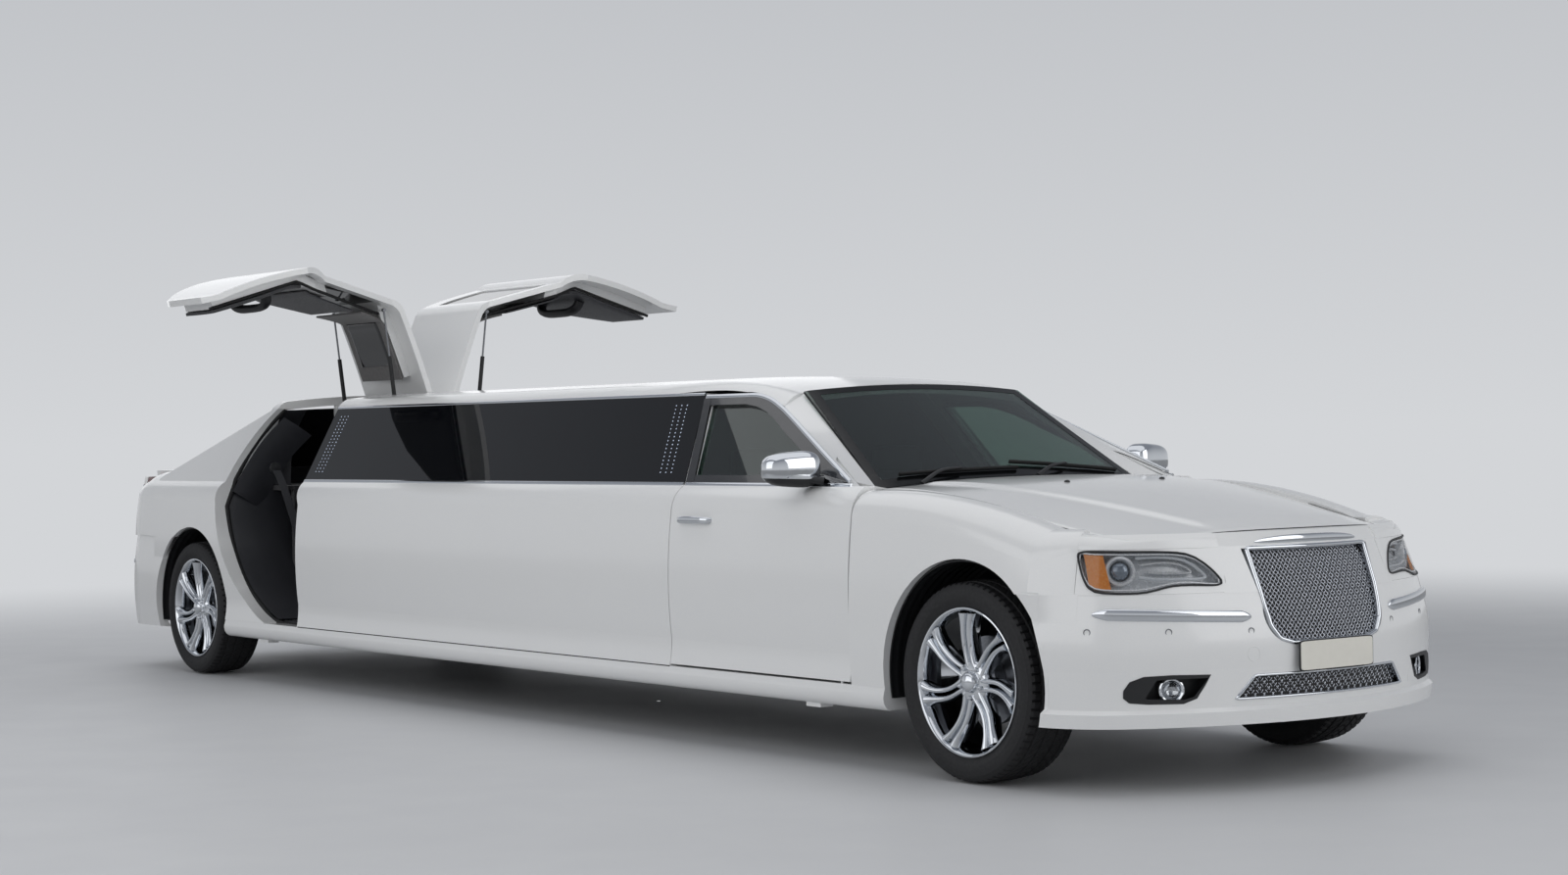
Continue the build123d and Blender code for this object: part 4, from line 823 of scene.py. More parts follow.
# Headlamp outline: share of its length from the outer end, height of the lower edge and of the upper edge.
LAMP_S, LAMP_LOW, LAMP_TOP = np.array([(0.0, 0.822, 0.831), (0.02, 0.790, 0.8355), (0.05, 0.752, 0.8375),
                                       (0.09, 0.718, 0.838), (0.14, 0.703, 0.8378), (0.20, 0.698, 0.8375),
                                       (0.30, 0.6955, 0.8365), (0.42, 0.6955, 0.8352),
                                       (0.48, 0.698, 0.8346), (0.54, 0.704, 0.834), (0.60, 0.7115, 0.833),
                                       (0.66, 0.717, 0.8315), (0.72, 0.719, 0.829), (0.78, 0.719, 0.824),
                                       (0.84, 0.718, 0.812), (0.90, 0.7165, 0.791), (0.95, 0.716, 0.767),
                                       (0.98, 0.7175, 0.749), (1.0, 0.722, 0.733),
                                       (1.006, 0.7275, 0.7275)]).T
LAMP_OUT, LAMP_FACING = (1, 0.6, 0.2), (0.8, 0.6, 0)
BULB = [(0.000, 0.0005), (0.024, 0.0005), (0.0235, 0.010), (0.021, 0.019), (0.015, 0.0265), (0.006, 0.0305),
        (0.000, 0.031)]
CUP = [(-0.018, 0.052), (0.010, 0.0535), (0.017, 0.050), (0.017, 0.043), (0.008, 0.0365), (-0.010, 0.0330),
       (-0.018, 0.034)]
# Lines inside the headlamp, as shares of its length and height.
GUIDE_LINE = [(0.44, 0.84), (0.56, 0.85), (0.68, 0.83), (0.78, 0.78), (0.85, 0.68), (0.90, 0.52),
              (0.91, 0.36), (0.86, 0.22), (0.76, 0.17), (0.66, 0.18), (0.57, 0.25), (0.50, 0.33),
              (0.45, 0.36)]
RIDGE_LINE = [(0.47, 0.66), (0.60, 0.68), (0.72, 0.65), (0.80, 0.55), (0.82, 0.42), (0.76, 0.36),
              (0.64, 0.37), (0.52, 0.46)]


def lamp_wall(s, z, depth=0.0):
    """A point of the wall that the headlamp sits in, by share of its length and by height.

    The bearing falls with s, faster over about the first third, on the corner arc. The wall leans back
    evenly with height, and depth moves the point in behind it.
    """
    inset = -0.039 - 0.055 * (z - 0.6903) / 0.1527
    bearing = np.where(s < 0.35, 62.2 - 29.9 * s / 0.35, 32.3 - 14.2 * (s - 0.35) / 0.65)
    return ring(bearing, inset - depth, z)


def lamp_point(s, t, depth=0.0):
    """A point of the headlamp's face: s from its outer end to its inner, t from lower edge to upper."""
    low, top = np.interp(s, LAMP_S, LAMP_LOW), np.interp(s, LAMP_S, LAMP_TOP)
    return lamp_wall(s, low + t * (top - low), depth)


class LIMO_OT_headlamps(Operator):
    """Headlamps: clear lens, dark gasket, amber marker, projector, light guide and metallised tub"""
    bl_idname = "limousine.headlamps"
    bl_label = "Headlamps"

    def execute(self, context):
        s, t = grid(72, 15)
        lens = plate(lamp_point(s, t, -0.0015), lamp_point(s, t, 0.0015))
        tub = plate(lamp_point(s, t, 0.050), lamp_point(s, t, 0.054))
        edge_s = np.concatenate([s[:, 0], s[-1, 1:-1], s[::-1, 0], s[0, 1:-1]])
        edge_t = np.concatenate([t[:, 0], t[-1, 1:-1], t[::-1, -1], t[0, -2:0:-1]])
        rim = lamp_point(edge_s, edge_t, -0.001)
        around = np.r_[0:len(rim), 0]
        tight = edge_t * 0.96 + 0.02
        behind = np.stack([lamp_point(edge_s, tight, 0.001), lamp_point(edge_s, tight, 0.050)], 1)
        wall = plate(np.stack([rim, lamp_point(edge_s, edge_t, 0.052)], 1)[around], behind[around])
        inside = lamp_point(0.012 + 0.976 * edge_s, 0.07 + 0.86 * edge_t, 0.004)
        bezel = bar(inside, 0.006, 0.008, LAMP_OUT, 10, closed=True)
        u, v = grid(140, 5, (0, 1.045))
        under, over = np.interp(u, LAMP_S, LAMP_LOW), np.interp(u, LAMP_S, LAMP_TOP)
        raised = -0.0012 * eased((u - 0.9) / 0.1)
        surround = [plate(lamp_wall(u, a + v * (b - a), raised), lamp_wall(u, a + v * (b - a), 0.02))
                    for a, b in ((0.6905, under), (over, 0.8440))]
        a, b = grid(16, 10, (0.030, 0.190), (0.08, 0.92))
        a = a + 0.070 * (1 - b)
        amber = plate(lamp_point(a, b, 0.006), lamp_point(a, b, 0.016))
        middle = lamp_point(0.330, 0.52, 0.030)
        out = (cos(radians(37)), sin(radians(37)), 0.10)
        guide, ridge = (lamp_point(*smooth_line(line, count).T, depth)
                        for line, count, depth in ((GUIDE_LINE, 80, 0.022), (RIDGE_LINE, 60, 0.036)))
        tub = joined([tub, wall, bar(ridge, 0.010, 0.018, LAMP_FACING, 10), bezel, turned(CUP, middle, out)])
        pair("headlamp_lens", lens, CLEAR_LENS)
        pair("headlamp_tub", tub, BRIGHT_REFLECTOR, replaces="headlamps")
        pair("headlamp_gasket", bar(rim, 0.0075, 0.009, LAMP_OUT, 10, closed=True), BLACK_MOULDING)
        pair("headlamp_surround", joined(surround), WHITE_LACQUER, sharp=SKIN)
        pair("marker_lens", amber, AMBER_LENS)
        pair("projector", turned(BULB, middle, out), PROJECTOR_GLASS)
        pair("light_guide", bar(guide, 0.012, 0.012, LAMP_FACING, 10, 2.2), LIGHT_GUIDE)
        return {"FINISHED"}


# Fog lamp recess seen from ahead, as (y, z) pairs: the solid's opening, then the bezel's two edges.
FOG = np.array([(0.502, 0.322), (0.515, 0.408), (0.700, 0.404), (0.738, 0.334)])
FOG_OUTER = np.array([(0.518, 0.414), (0.647, 0.417), (0.736, 0.414), (0.778, 0.397), (0.796, 0.368),
                      (0.797, 0.342), (0.780, 0.325), (0.724, 0.319), (0.612, 0.317), (0.566, 0.334)])
FOG_INNER = np.array([(0.526, 0.403), (0.647, 0.402), (0.697, 0.401), (0.706, 0.390), (0.718, 0.368),
                      (0.733, 0.342), (0.726, 0.3365), (0.700, 0.335), (0.614, 0.330), (0.576, 0.340)])
FOG_SLANT = [(0.521, 0.408), (0.545, 0.366), (0.568, 0.340), (0.616, 0.321)]
FOG_DEPTH, FOG_BACK = np.array((0.062, 0, 0)), np.array((0.004, 0, 0))
FOG_TRIM = [(-0.012, 0.043), (0.012, 0.046), (0.020, 0.0445), (0.023, 0.040), (0.019, 0.0345),
            (0.000, 0.0325), (-0.012, 0.034)]
FOG_BOWL = [(-0.014, 0.001), (-0.012, 0.012), (0.000, 0.030), (0.006, 0.034), (-0.004, 0.036),
            (-0.018, 0.020), (-0.020, 0.001)]
FOG_COVER = [(0.016, 0.0005), (0.0155, 0.015), (0.0125, 0.027), (0.008, 0.034), (0.006, 0.034),
             (0.0105, 0.026), (0.0135, 0.015), (0.014, 0.0005)]


class LIMO_OT_fog_lamps(Operator):
    """Fog lamps: a round bright-ringed lamp in a black recess at each front corner"""
    bl_idname = "limousine.fog_lamps"
    bl_label = "Fog lamps"

    def execute(self, context):
        u, v = (k[..., None] for k in grid(24, 12))
        yz = (1 - u) * (1 - v) * FOG[0] + (1 - u) * v * FOG[1] + u * v * FOG[2] + u * (1 - v) * FOG[3]
        back = nose_point(yz[..., 0], yz[..., 1]) - FOG_DEPTH
        floor = plate(back, back - FOG_BACK)
        loop = looped(FOG, 96, True)
        tight = FOG.mean(0) + (loop - FOG.mean(0)) * (0.955, 0.90)
        rims = [nose_point(line[:, 0], line[:, 1], -0.001) for line in (loop, tight)]
        wall = plate(*(np.stack([rim, rim - 1.05 * FOG_DEPTH], 1) for rim in rims))
        edges = [looped(line, 120, True) for line in (FOG_OUTER, FOG_INNER)]
        bezel = nose_plate(between(*edges, 6), 0.0016, -0.003)
        upright = np.array((0.510, 0.411)) + np.linspace(0, 1, 30)[:, None] * np.array((-0.014, -0.093))
        infill = nose_plate(between(upright, smooth_line(FOG_SLANT, 30), 6), 0.0009, -0.008)
        lamp = {"origin": nose_point(0.645, 0.363, -0.030), "axis": (0.86, 0.50, 0.0)}
        pair("fog_recess", joined([floor, wall]), BLACK_MOULDING, replaces="fog_lamps")
        pair("fog_bezel", bezel, BLACK_MOULDING, sharp=BAR)
        pair("fog_infill", infill, WHITE_LACQUER, sharp=BAR)
        pair("fog_trim", joined([turned(FOG_TRIM, **lamp), turned(FOG_BOWL, **lamp)]), CHROME)
        pair("fog_lens", turned(FOG_COVER, **lamp), CLEAR_LENS)
        return {"FINISHED"}


SENSOR_RING = [(-0.002, 0.0085), (0.0022, 0.0095), (0.0028, 0.0112), (0.0015, 0.0125), (-0.002, 0.0125)]
SENSOR_FACE = [(-0.002, 0.0004), (0.0018, 0.0004), (0.0016, 0.0085), (-0.002, 0.0085)]
SENSOR_PLACES = ((0.882, 0.566), (0.655, 0.562), (0.365, 0.556))
EYE_COVER = [(-0.002, 0.0230), (0.0012, 0.0235), (0.0018, 0.0250), (0.0012, 0.0262), (-0.002, 0.0268)]
NUMBER_PLATE_Z = 0.4615


def rounded_board(half, tall, front, deep):
    """An upright board with rounded corners: a squared ring stepped forward, its front edge drawn in."""
    t = circle(96)
    y, z = half * power(np.cos(t), 0.12), tall * power(np.sin(t), 0.12)
    x, k = np.array([(front - deep, 1.0), (front - 0.0006, 1.0), (front, 0.994)]).T[..., None]
    return sheet(xyz(x, y * k, NUMBER_PLATE_Z + z * k), wrap_cols=True, cap=True)


class LIMO_OT_bumper_trim(Operator):
    """Bright bumper strips, parking sensors, towing-eye cover, header bar and the bare number plate"""
    bl_idname = "limousine.bumper_trim"
    bl_label = "Bumper trim and plate"

    def execute(self, context):
        s = np.linspace(0, 1, 70)
        path = nose_point(0.872 - 0.512 * s, 0.627 - 0.022 * s, 0.002)
        strip = bar(path, 0.020, 0.042, count=16, exponent=2.4, scale=tapered(s, 0.07))
        rings, faces = (joined([on_nose(profile, y, z, 28) for y, z in SENSOR_PLACES])
                        for profile in (SENSOR_RING, SENSOR_FACE))
        piece("towing_eye_cover", on_nose(EYE_COVER, -0.36, 0.478, 40), WHITE_LACQUER)
        pair("bumper_strip", strip, CHROME, sharp=BAR)
        pair("sensor_rings", rings, MACHINED_STEEL, slot="bright_rim")
        pair("sensor_faces", faces, WHITE_LACQUER)
        u = np.linspace(-1, 1, 60)
        path = nose_point(0.280 * u, 0.860 - 0.004 * u ** 2, 0.0015)
        pointed = np.clip(1 - np.abs(u) ** 3, 0.03, 1) ** 0.5
        header = bar(path, 0.012, 0.036, count=16, exponent=2.2, scale=pointed)
        piece("grille_header_bar", header, CHROME, sharp=BAR)
        piece("number_plate", rounded_board(0.186, 0.0500, 4.2130, 0.0030), PLATE_ENAMEL)
        piece("number_plate_border", rounded_board(0.1895, 0.0535, 4.2115, 0.0060), BLACK_MOULDING)
        return {"FINISHED"}


# Sides

SEAM_Y, SEAM_Z = 0.9508, 0.3180
BELT_LINE, RAIL_LINE = 1.060, 1.4335
# The front door's window on the leaning side, as (x, z) pairs: the black band's outer and inner edges.
WINDOW_OUTER = np.array([(2.575, 1.062), (1.985, 1.322), (1.905, 1.3615), (1.830, 1.393), (1.735, 1.418),
                         (1.640, 1.4305), (1.322, 1.4305), (1.484, 1.062)])
WINDOW_INNER = np.array([(2.388, 1.094), (1.967, 1.282), (1.900, 1.316), (1.812, 1.352), (1.730, 1.375),
                         (1.640, 1.387), (1.388, 1.387), (1.515, 1.094)])
WINDOW_STRIP = [(2.560, 1.0755), (2.38, 1.1555), (2.18, 1.2447), (1.985, 1.3315), (1.90, 1.367),
                (1.80, 1.4015), (1.70, 1.4205), (1.60, 1.4225), (1.45, 1.4225), (1.332, 1.4225)]


def side_strip(points, width, count=30):
    """A flat rounded strip along a line of (x, z) points on the leaning side."""
    line = smooth_line(points, count)
    path = lean(line[:, 0], line[:, 1], -0.0005)
    up = np.broadcast_to((0, *LEAN), path.shape)
    return carried(rounded(width, 0.007, 12, 3.0), path, np.cross(directions(path), up), up)


class LIMO_OT_side_trim(Operator):
    """Bright strips and black bands round the side windows, pillar covers, door handles and sill seams"""
    bl_idname = "limousine.side_trim"
    bl_label = "Side trim and handles"

    def execute(self, context):
        width = context.scene.limousine_sizes.trim_width
        belt, rail, door_belt = (
            side_strip([(x, z) for x in along], wide)
            for along, z, wide in (((-1.930, -1.0, 0.2, 1.471), BELT_LINE, width),
                                   ((-1.985, -1.0, 0.2, 1.314), RAIL_LINE, width * 0.8),
                                   ((1.490, 1.9, 2.3, 2.580), BELT_LINE, width)))
        u, v = grid(8, 24)
        x, z = 1.4875 - 0.1620 * v + 0.050 * u, 1.070 + 0.343 * v
        cover = plate(lean(x, z, -0.0022), lean(x, z, 0.004))
        k, corners = np.linspace(0, 8, 161), np.arange(9)
        outer, inner = (np.stack([np.interp(k, corners, loop[np.r_[0:8, 0], i]) for i in range(2)], -1)
                        for loop in (WINDOW_OUTER, WINDOW_INNER))
        xz = between(outer, inner, 5)
        window = plate(*(lean(xz[..., 0], xz[..., 1], depth) for depth in (-0.0012, 0.0020)))
        tight = inner.mean(0) + (inner - inner.mean(0)) * (0.995, 0.985)
        reveal = plate(*(lean(line[:, :1], line[:, 1:], np.array([(-0.0012, 0.020, 0.045)]))
                         for line in (inner, tight)))
        s = np.linspace(-1, 1, 60)
        bow = 0.030 * np.clip(1 - s ** 6, 0, 1) ** 0.5
        grip = xyz(1.662 + 0.104 * s, 0.936 + bow, 0.919 - 0.002 * s ** 2)
        handle = bar(grip, 0.016, 0.027, count=14, exponent=2.4, scale=0.9 + 0.25 * (1 - s ** 2))
        seam = bar(xyz(np.linspace(-1.855, 1.480, 30), SEAM_Y, SEAM_Z), 0.004, 0.005, count=8, exponent=2.0)
        door = "front_door_{}"
        pair("sill_seam", seam, RUBBER_SEAL, sharp=BAR)
        pair("belt_strip", belt, CHROME, sharp=BAR)
        pair("rail_strip", rail, CHROME, sharp=BAR)
        pair("door_belt_strip", door_belt, CHROME, door, BAR)
        pair("door_window_strip", side_strip(WINDOW_STRIP, width * 1.1, 110), CHROME, door, BAR)
        pair("door_window_band", joined([window, reveal]), GLOSS_BLACK, door, SKIN)
        pair("pillar_cover", cover, GLOSS_BLACK, door)
        pair("door_handle", handle, CHROME, door, BAR)
        return {"FINISHED"}


MIRROR_AT, MIRROR_TURN = (2.330, 0.958, 1.122), radians(12)


def mirror_shell(half, low, high):
    """A squared egg: cosines and sines to the power 0.62, cut between two heights, narrower outwards."""
    p, q = np.meshgrid(np.linspace(-pi / 2, pi / 2, 28), circle(56), indexing="ij")
    x, y = (power(np.cos(p), 0.62) * power(wave, 0.62) for wave in (np.cos(q), np.sin(q)))
    z = np.clip(power(np.sin(p), 0.62), low, high)
    points = xyz(x * half[0] * (1 - 0.10 * y), y * half[1], z * half[2] * (1 - 0.12 * y))
    return sheet(rotated(points, MIRROR_TURN, 0, 1) + np.array(MIRROR_AT), wrap_cols=True)


class LIMO_OT_mirrors(Operator):
    """Door mirrors: bright cap, black base and stalk, and the silvered glass behind"""
    bl_idname = "limousine.mirrors"
    bl_label = "Door mirrors"

    def execute(self, context):
        base = mirror_shell((0.056, 0.112, 0.067), -1.0, -0.52)
        arm = smooth_line([(2.345, 0.905, 1.090), (2.372, 0.872, 1.082), (2.395, 0.845, 1.076)], 14)
        stalk = bar(arm, 0.095, 0.030, count=16, exponent=3.0)
        t = np.linspace(0, 1, 7)[:, None]
        a = circle(48)[None]
        across, rise = power(np.cos(a), 0.6), power(np.sin(a), 0.6)
        face = xyz(-0.0605 - 0.002 * (1 - t), 0.096 * t * across, 0.054 * t * rise)
        glass = np.concatenate([face, face[::-1] + np.array((0.010, 0, 0))])
        glass = sheet(rotated(glass, MIRROR_TURN, 0, 1) + np.array(MIRROR_AT), wrap_cols=True)
        door = "front_door_{}"
        pair("mirror_cap", mirror_shell((0.060, 0.117, 0.070), -0.50, 1.0), CHROME, door, BAR, "mirror_cap",
             "door_mirror_{}")
        pair("mirror_base", joined([base, stalk]), BLACK_MOULDING, door, BAR)
        pair("mirror_glass", glass, SILVERED_GLASS, door, SKIN)
        return {"FINISHED"}


LIGHT_ROWS, LIGHT_COLUMNS, LIGHT_STEP, LIGHT_FOOT = 18, 3, 0.0165, 1.108
# Faces of one dome of three rings of eight points: its walls, its crown and its base.
DOME_FACES = np.concatenate([lattice(3, 8, wrap_cols=True),
                             [[16, 17, 18, 19], [16, 19, 20, 23], [20, 21, 22, 23]],
                             [[0, 3, 2, 1], [0, 7, 4, 3], [4, 7, 6, 5]]])


class LIMO_OT_light_columns(Operator):
    """Three leaning columns of small lights at each end of the long windows"""
    bl_idname = "limousine.light_columns"
    bl_label = "Window lights"

    def execute(self, context):
        radius = context.scene.limousine_sizes.dot
        step, column, end = np.indices((LIGHT_ROWS, LIGHT_COLUMNS, 2))
        z = LIGHT_FOOT + LIGHT_STEP * step
        up = (z - 1.066) / 0.364
        x = np.where(end == 0, 1.359 - 0.159 * up - 0.040 * column, -1.852 - 0.054 * up + 0.036 * column)
        centres = lean(x.ravel(), z.ravel(), -0.0002)
        r, t = np.meshgrid((1.0, 0.75, 0.3), circle(8), indexing="ij")
        rise = np.sin(t) * r
        swell = 0.4 * np.sqrt(1 - 0.98 * r ** 2)
        aside, above = swell * LEAN[0] - rise * LEAN[1], swell * LEAN[1] + rise * LEAN[0]
        dome = radius * xyz(r * np.cos(t), aside, above)
        points = (centres[:, None, None] + dome[None]).reshape(-1, 3)
        first = dome[..., 0].size * np.arange(len(centres))[:, None, None]
        faces = (DOME_FACES[None] + first).reshape(-1, 4)
        pair("window_lights", (points, faces.tolist()), LIGHT_DOT)
        return {"FINISHED"}


SCREEN_NORMAL = (0.525, 0, 0.851)
# Wipers as (y, share up the screen) pairs: the blade's foot and tip, and y of the arm's pivot.
WIPERS = (((0.02, 0.120), (0.600, 0.075), 0.10), ((-0.560, 0.085), (0.030, 0.060), -0.50))


def screen(y, t, proud=0.0):
    """The windscreen's outer face: up the slope by t, bowed out 45 mm at the middle with the square of y."""
    rise = 0.045 * (1 - (y / 0.704) ** 2) + proud
    return xyz(2.539 - 0.614 * t + SCREEN_NORMAL[0] * rise, y, 1.040 + 0.379 * t + SCREEN_NORMAL[2] * rise)


class LIMO_OT_windscreen_trim(Operator):
    """Dark fired border of the windscreen and its wipers"""
    bl_idname = "limousine.windscreen_trim"
    bl_label = "Windscreen trim"

    def execute(self, context):
        u, v = grid(50, 12)
        bands = [((2 * u - 1) * (0.701 - 0.138 * t), t) for t in (0.075 * v, 0.945 + 0.055 * v)]
        bands += [(sign * (0.701 - 0.138 * u - 0.045 * v), u) for sign in (1, -1)]
        border = [plate(screen(y, t, 0.0012), screen(y, t, 0.0004)) for y, t in bands]
        piece("windscreen_border", joined(border), FIRED_BORDER, sharp=BAR)
        blades, arms = [], []
        k = np.linspace(0, 1, 40)
        for foot, tip, pivot in WIPERS:
            y, t = (a + k * (b - a) for a, b in zip(foot, tip))
            blades.append(bar(screen(y, t - 0.01 * np.sin(pi * k), 0.012), 0.010, 0.018, SCREEN_NORMAL, 8))
            mid_y, mid_t = 0.5 * (foot[0] + tip[0]), 0.5 * (foot[1] + tip[1])
            arm = smooth_line([screen(pivot, -0.020, 0.010), screen(mid_y * 0.5 + pivot * 0.5, 0.045, 0.026),
                               screen(mid_y, mid_t - 0.01, 0.024)], 24)
            arms.append(bar(arm, 0.016, 0.010, SCREEN_NORMAL, 8, scale=np.linspace(1.3, 0.7, 24)))
        piece("wiper_blades", joined(blades), RUBBER_SEAL, sharp=BAR)
        piece("wiper_arms", joined(arms), BLACK_MOULDING, sharp=BAR)
        return {"FINISHED"}


# Bonnet stations along x, and the cubics through its half width, edge height and crown height there.
BONNET_X = np.array([2.650, 3.100, 3.640, 4.100])
BONNET_HALF = np.polyfit(BONNET_X, (0.7925, 0.7725, 0.7255, 0.620), 3)
BONNET_EDGE = np.polyfit(BONNET_X, (1.044, 1.016, 0.908, 0.852), 3)
BONNET_CROWN = np.polyfit(BONNET_X, (1.070, 1.056, 0.992, 0.890), 3)
BONNET_BACK = 2.653
NOZZLE = [(-0.003, 0.001), (-0.003, 0.0115), (0.003, 0.0110), (0.0065, 0.0075), (0.0080, 0.001)]


def bonnet_height(x, y, most):
    """Height of the bonnet's plain crown: it falls to the edge with the square of y over the half width."""
    half, edge, crown = (np.polyval(c, x) for c in (BONNET_HALF, BONNET_EDGE, BONNET_CROWN))
    return edge + (crown - edge) * (1 - np.minimum((y / half) ** 2, most))


def bonnet_skin(u, v):
    """The bonnet by share of its length u and of its half width v.

    Its front edge is an arc, and a middle panel stands 11 mm higher inside two lines that draw in forwards.
    """
    y = v * np.polyval(BONNET_HALF, BONNET_BACK + u * 1.235)
    x = BONNET_BACK + u * (2.747 + np.sqrt(1.320 ** 2 - (0.667 * v) ** 2) - BONNET_BACK)
    line = 0.600 - 0.175 * (x - 2.65)
    raised = 0.011 * eased((line - np.abs(y)) / 0.045 + 0.5) * eased(u / 0.06) * eased((1 - u) / 0.10)
    return xyz(x, y, bonnet_height(x, y, 1.02) + raised)


class LIMO_OT_bonnet(Operator):
    """Bonnet skin with its raised middle panel and rolled edges, its washer jets and hinge arms"""
    bl_idname = "limousine.bonnet"
    bl_label = "Bonnet"

    def execute(self, context):
        u, v = grid(80, 121, along=(-1, 1))
        top = bonnet_skin(u, v)
        edge = np.minimum(np.minimum(u, 1 - u) * 1.3, (1 - np.abs(v)) * 0.72)
        top[..., 2] -= 0.007 * (1 - np.sqrt(1 - (1 - np.clip(edge / 0.010, 0, 1)) ** 2))
        skin = plate(top, top - np.array((0, 0, 0.018)))
        jets = [turned(NOZZLE, bonnet_skin(0.3345, share), (0.05, 0, 1), 24) for share in (-0.324, 0.324)]
        lines = [[(2.658, y, 1.034), (2.690, y, 1.030), (2.740, y, 1.026)] for y in (-0.57, 0.57)]
        arms = [bar(smooth_line(line, 12), 0.030, 0.012, count=10) for line in lines]
        piece("bonnet_panel", skin, WHITE_LACQUER, "bonnet", SKIN, replaces=("bonnet",))
        piece("washer_jets", joined(jets), BLACK_MOULDING, "bonnet")
        piece("bonnet_hinge_arms", joined(arms), BLACK_COATING, "bonnet")
        return {"FINISHED"}


# Gull doors, drawn shut. The lining is a line of (y, z) points, the seals lines of (x, z) points.
LINING = [(0.195, 1.430), (0.34, 1.423), (0.49, 1.411), (0.550, 1.383), (0.664, 1.197), (0.781, 1.011),
          (0.855, 0.924), (0.857, 0.70), (0.857, 0.434)]
# Heights and x of the door's inner limits in front and behind.
DOOR_FRONT = ((0.43, 1.03, 1.40, 1.45), (-2.014, -2.014, -2.122, -2.122))
DOOR_REAR = ((0.43, 0.60, 0.78, 1.02, 1.40, 1.45), (-2.322, -2.550, -2.662, -2.712, -2.556, -2.556))
EDGE_SEAL = [(-2.005, 0.42), (-2.005, 0.75), (-2.005, 1.02), (-2.06, 1.22), (-2.112, 1.39)]
DOORWAY_SEAL = [(-1.858, 0.920), (-1.858, 0.60), (-1.862, 0.345), (-1.92, 0.322), (-2.235, 0.322),
                (-2.40, 0.385), (-2.575, 0.492), (-2.70, 0.620), (-2.782, 0.757), (-2.838, 0.95),
                (-2.858, 1.13), (-2.842, 1.24), (-2.795, 1.335), (-2.700, 1.440)]
POST_SEAL = [(-1.862, 0.930), (-1.925, 1.050), (-1.955, 1.20), (-1.984, 1.425)]


def door_lining(start, stop, depth, front_trim=0.0, rear_trim=0.0):
    """A grid on the shut gull door's inner face: along the lining by share of length, then front to rear.

    The front and rear limits follow the door's own inner box with height.
    """
    line = smooth_line(LINING, 200)
    pick = np.linspace(start, stop, 40) * 199
    at, way = (np.stack([np.interp(pick, np.arange(200), values[:, k]) for k in range(2)], -1)
               for values in (line, directions(line)))
    front = np.interp(at[:, 1], *DOOR_FRONT) - front_trim
    rear = np.interp(at[:, 1], *DOOR_REAR) + rear_trim
    x = front[:, None] + (rear - front)[:, None] * np.linspace(0, 1, 28)
    inward = np.stack([way[:, 1], -way[:, 0]], -1)
    yz = at + inward * depth
    return xyz(x, yz[:, :1], yz[:, 1:])


class LIMO_OT_gull_doors(Operator):
    """Gull door linings, armrests, dark roof panels, edge seals and the seals round the doorways"""
    bl_idname = "limousine.gull_doors"
    bl_label = "Gull door trim"

    def execute(self, context):
        head = plate(door_lining(0.0, 0.34, 0.010), door_lining(0.0, 0.34, 0.0))
        panel = plate(door_lining(0.06, 0.24, 0.017, 0.06, 0.06), door_lining(0.06, 0.24, 0.010, 0.05, 0.05))
        pane = plate(door_lining(0.37, 0.60, 0.006, 0.03, 0.04), door_lining(0.37, 0.60, -0.002, 0.03, 0.04))
        face = door_lining(0.63, 1.0, 0.012)
        down, along = (np.sin(np.linspace(0, pi, count)) for count in face.shape[:2])
        face[..., 1] -= 0.014 * down[:, None] ** 0.5 * along[None] ** 0.4
        lower = plate(face, door_lining(0.63, 1.0, -0.002))
        s = np.linspace(-1, 1, 50)
        rest = xyz(-2.33 + 0.20 * s, 0.842 - 0.062 * np.clip(1 - s ** 4, 0, 1) ** 0.5, 0.800)
        edge = set_out(smooth_line(EDGE_SEAL, 40), (0.42, 0.93, 1.02, 1.40), (0.872, 0.872, 0.800, 0.562))
        lines = (set_out(smooth_line(DOORWAY_SEAL, 150), (0.32, 0.92, 1.03, 1.06, 1.44),
                         (0.868, 0.868, 0.815, 0.806, 0.576)),
                 set_out(smooth_line(POST_SEAL, 40), (0.92, 1.03, 1.06, 1.44), (0.868, 0.815, 0.806, 0.576)))
        seals = [bar(line, 0.020, 0.024, LEFT, exponent=2.2) for line in lines]
        door = "gull_door_{}"
        pair("gull_head_lining", opened(head), SUEDE, door, SKIN)
        pair("gull_roof_panel", opened(panel), GLOSS_BLACK, door, SKIN)
        pair("gull_inner_pane", opened(pane), HIDE, door, SKIN)
        pair("gull_lower_lining", opened(lower), HIDE, door, SKIN)
        pair("gull_armrest", opened(bar(rest, 0.042, 0.055, count=14)), BLACK_MOULDING, door, BAR)
        pair("gull_edge_seal", opened(bar(edge, 0.016, 0.016, AHEAD, 10, 2.2)), RUBBER_SEAL, door, BAR)
        pair("doorway_seal", joined(seals), RUBBER_SEAL, sharp=BAR)
        return {"FINISHED"}


# Seats

# Power that squares off a hard plinth.
FLAT = 0.2
